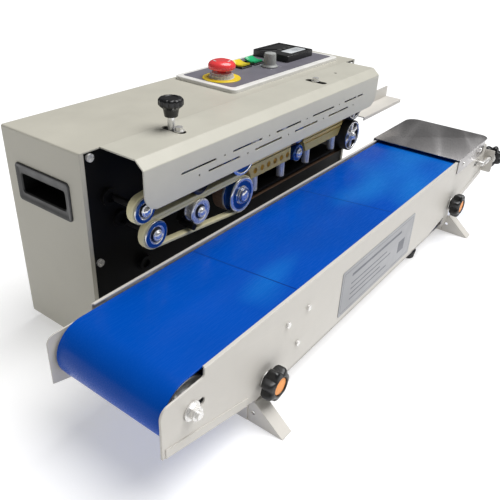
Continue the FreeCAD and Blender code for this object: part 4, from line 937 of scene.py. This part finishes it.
# ------------------------------------------------------------------ handles, label and tray
def handles():
    """Recessed cups in both ends of the cabinet, each with its raised rim."""
    low, high = lowest("carry_handles"), highest("carry_handles")
    y0, y1, z0, z1 = low.y, high.y, low.z, high.z
    outer = rounded(y0, z0, y1, z1, 5, 6)
    mouth = rounded(y0 + 9, z0 + 12, y1 - 9, z1 - 12, 3, 6)
    deep = rounded(y0 + 9.6, z0 + 12.6, y1 - 9.6, z1 - 12.6, 3, 6)
    levels = [(outer, 2.3), (outer, 1.0), (shrink(outer, 0.9), 0.0), (shrink(outer, 4.0), 0.2),
              (shrink(outer, 5.0), 0.9), (shrink(mouth, -1.6), 1.0), (mouth, 2.2), (deep, 32.0)]
    shape = Shape()
    for x, inward in ((low.x, 1), (high.x, -1)):
        rows = [[Vector((x + inward * depth, u, v)) for u, v in loop] for loop, depth in levels]
        rings = shape.faces(rows, True, [0, 0, 0, 0, 0, 1, 1])
        shape.cap(rings[-1], 1)
    finished("handle_cups", shape.mesh("handles"), ["handle", "cup"], "machine",
             ["carry_handles"])


handles()


def label():
    """Label plate with a ruled border and plain bars in place of lettering."""
    low, high = lowest("label_plate"), highest("label_plate")
    wide, tall, depth = high.x - low.x, high.z - low.z, high.y - low.y
    face, back = low.y - 0.02, low.y - 0.02 + depth / 2
    shape = Shape()
    shape.extruded(rounded(low.x, low.z, high.x, high.z, 3, 5), low.y, high.y, "Y", 0, 0.15)
    inset, rule = 4.0, 0.7
    outer = rounded(low.x + inset, low.z + inset, high.x - inset, high.z - inset, 2.5, 5)
    inner = shrink(outer, rule)
    shape.faces([[Vector((u, y, v)) for u, v in loop]
                 for loop, y in ((outer, back), (outer, face), (inner, face), (inner, back))],
                True, 1)
    for u0, u1, v0, v1 in ((0.12, 0.80, 0.76, 0.82), (0.12, 0.60, 0.58, 0.61),
                           (0.12, 0.66, 0.46, 0.49), (0.12, 0.52, 0.34, 0.37),
                           (0.12, 0.62, 0.22, 0.25), (0.78, 0.88, 0.28, 0.56)):
        bar = rounded(low.x + wide * u0, low.z + tall * v0, low.x + wide * u1,
                      low.z + tall * v1, 0.5, 2)
        shape.extruded(bar, face, back, "Y", 1)
    finished("blank_label", shape.mesh("label"), ["label", "label_line"], "conveyor",
             ["label_plate"])


label()


def quarter(u, v, radius, start, first=0):
    """Quarter circle about a point, from a starting angle in degrees, in eight steps."""
    return [(u + radius * math.cos(math.radians(start) + math.pi / 2 * k / 8),
             v + radius * math.sin(math.radians(start) + math.pi / 2 * k / 8))
            for k in range(first, 9)]


def tray():
    """Outlet tray: flat sheet with two rounded corners, a flange each side and its rivets."""
    low, high = lowest("outlet_tray"), highest("outlet_tray")
    x0, x1, y0, y1, top = low.x, high.x, low.y, high.y, high.z
    wall, near, far = 1.5, 16, 22
    outline = [(x0, y0), (x1 - near, y0)]
    outline += quarter(x1 - near, y0 + near, near, -90, 1)
    outline += quarter(x1 - far, y1 - far, far, 0) + [(x0, y1)]
    levels = [(shrink(outline, 1.0), top - wall), (outline, top - wall + 0.2),
              (outline, top - 0.9), (shrink(outline, 0.3), top - 0.3), (shrink(outline, 1.0), top)]
    shape = Shape()
    rings = shape.faces([[Vector((u, v, z)) for u, v in loop] for loop, z in levels], True)
    shape.cap(rings[0], 0, True)
    shape.cap(rings[-1], 0)
    for y in (y0, y1 - wall):
        flange = rounded(x0, low.z, x1 - 24, top - 1.0, 3, 5)
        shape.extruded(flange, y, y + wall, "Y", 0, 0.3)
    rivet, numbers = soft_profile([(0.4, 0.5, 0, 1), (0.4, 1.6, 0.1, 1), (1.3, 1.8, 0.1, 1),
                                   (1.5, 3.4, 0.5, 1), (0.1, 3.9, 0.2, 1), (0.0, 3.9, 0, 1)])
    front, rear = cad_box[0].y / MM, cad_box[1].y / MM
    for x in (x0 + 26, x1 - 42):
        for y, sign in ((y0, -1), (y1, 1)):
            profile = [(min(max(y + sign * along, front), rear), radius) for along, radius in rivet]
            shape.turned(profile, numbers, "Y", Vector((x, 0, low.z + 10.5)), 32)
    finished("stainless_tray", shape.mesh("tray"), ["stainless", "zinc"], "conveyor",
             ["outlet_tray"])


tray()


# ------------------------------------------------------------------ stage, light and camera
WHITE = (1.0, 1.0, 1.0, 1.0)
LIGHTING, BACKDROP = 0.13, 1.0  # world strength on the object, and as the camera sees it


def floor():
    """Wide pale floor, a little luminous so that the shadow on it stays soft."""
    mesh = bpy.data.meshes.new("floor")
    mesh.from_pydata([(-6, -6, 0), (6, -6, 0), (6, 6, 0), (-6, 6, 0)], [], [(0, 1, 2, 3)])
    item = bpy.data.objects.new("floor", mesh)
    bpy.context.scene.collection.objects.link(item)
    paper = Nodes("pale_floor", 0.9, Emission_Color=WHITE, Emission_Strength=0.44)
    pale = [(0.3, (0.62, 0.62, 0.62)), (0.7, (0.65, 0.65, 0.65))]
    paper.colour(paper.ramp(paper.noise(2, 2), pale))
    mesh.materials.append(paper.mat)


def world():
    """Dim white light all round, behind which the camera sees plain white."""
    studio = bpy.data.worlds.new("studio")
    bpy.context.scene.world = studio
    studio.use_nodes = True
    sky = studio.node_tree.nodes
    glow, paper_white = sky["Background"], sky.new("ShaderNodeBackground")
    for shader, strength in ((glow, LIGHTING), (paper_white, BACKDROP)):
        shader.inputs["Color"].default_value = WHITE
        shader.inputs["Strength"].default_value = strength
    seen, blend = sky.new("ShaderNodeLightPath"), sky.new("ShaderNodeMixShader")
    link = studio.node_tree.links.new
    link(seen.outputs["Is Camera Ray"], blend.inputs[0])
    link(glow.outputs["Background"], blend.inputs[1])
    link(paper_white.outputs["Background"], blend.inputs[2])
    link(blend.outputs["Shader"], sky["World Output"].inputs["Surface"])


def key_light():
    """Broad, soft sun from above, the right and the front."""
    sun = bpy.data.lights.new("key", "SUN")
    sun.energy = 3.65
    sun.angle = math.radians(50)
    key = bpy.data.objects.new("key", sun)
    key.rotation_mode = "QUATERNION"
    key.rotation_quaternion = Vector((0.32, -0.24, 0.92)).to_track_quat("Z", "Y")
    bpy.context.scene.collection.objects.link(key)
    bpy.context.scene.view_settings.view_transform = "Standard"


def camera():
    """Camera at the photograph's viewing angle."""
    lens = bpy.data.cameras.new("camera")
    lens.lens = 42.614
    lens.sensor_width = 36.0
    eye = bpy.data.objects.new("camera", lens)
    eye.location = (-0.67196, -0.40292, 0.49004)
    eye.rotation_mode = "QUATERNION"
    eye.rotation_quaternion = Quaternion((0.782416, 0.432833, -0.236507, -0.380192))
    bpy.context.scene.collection.objects.link(eye)
    bpy.context.scene.camera = eye


floor()
world()
key_light()
camera()
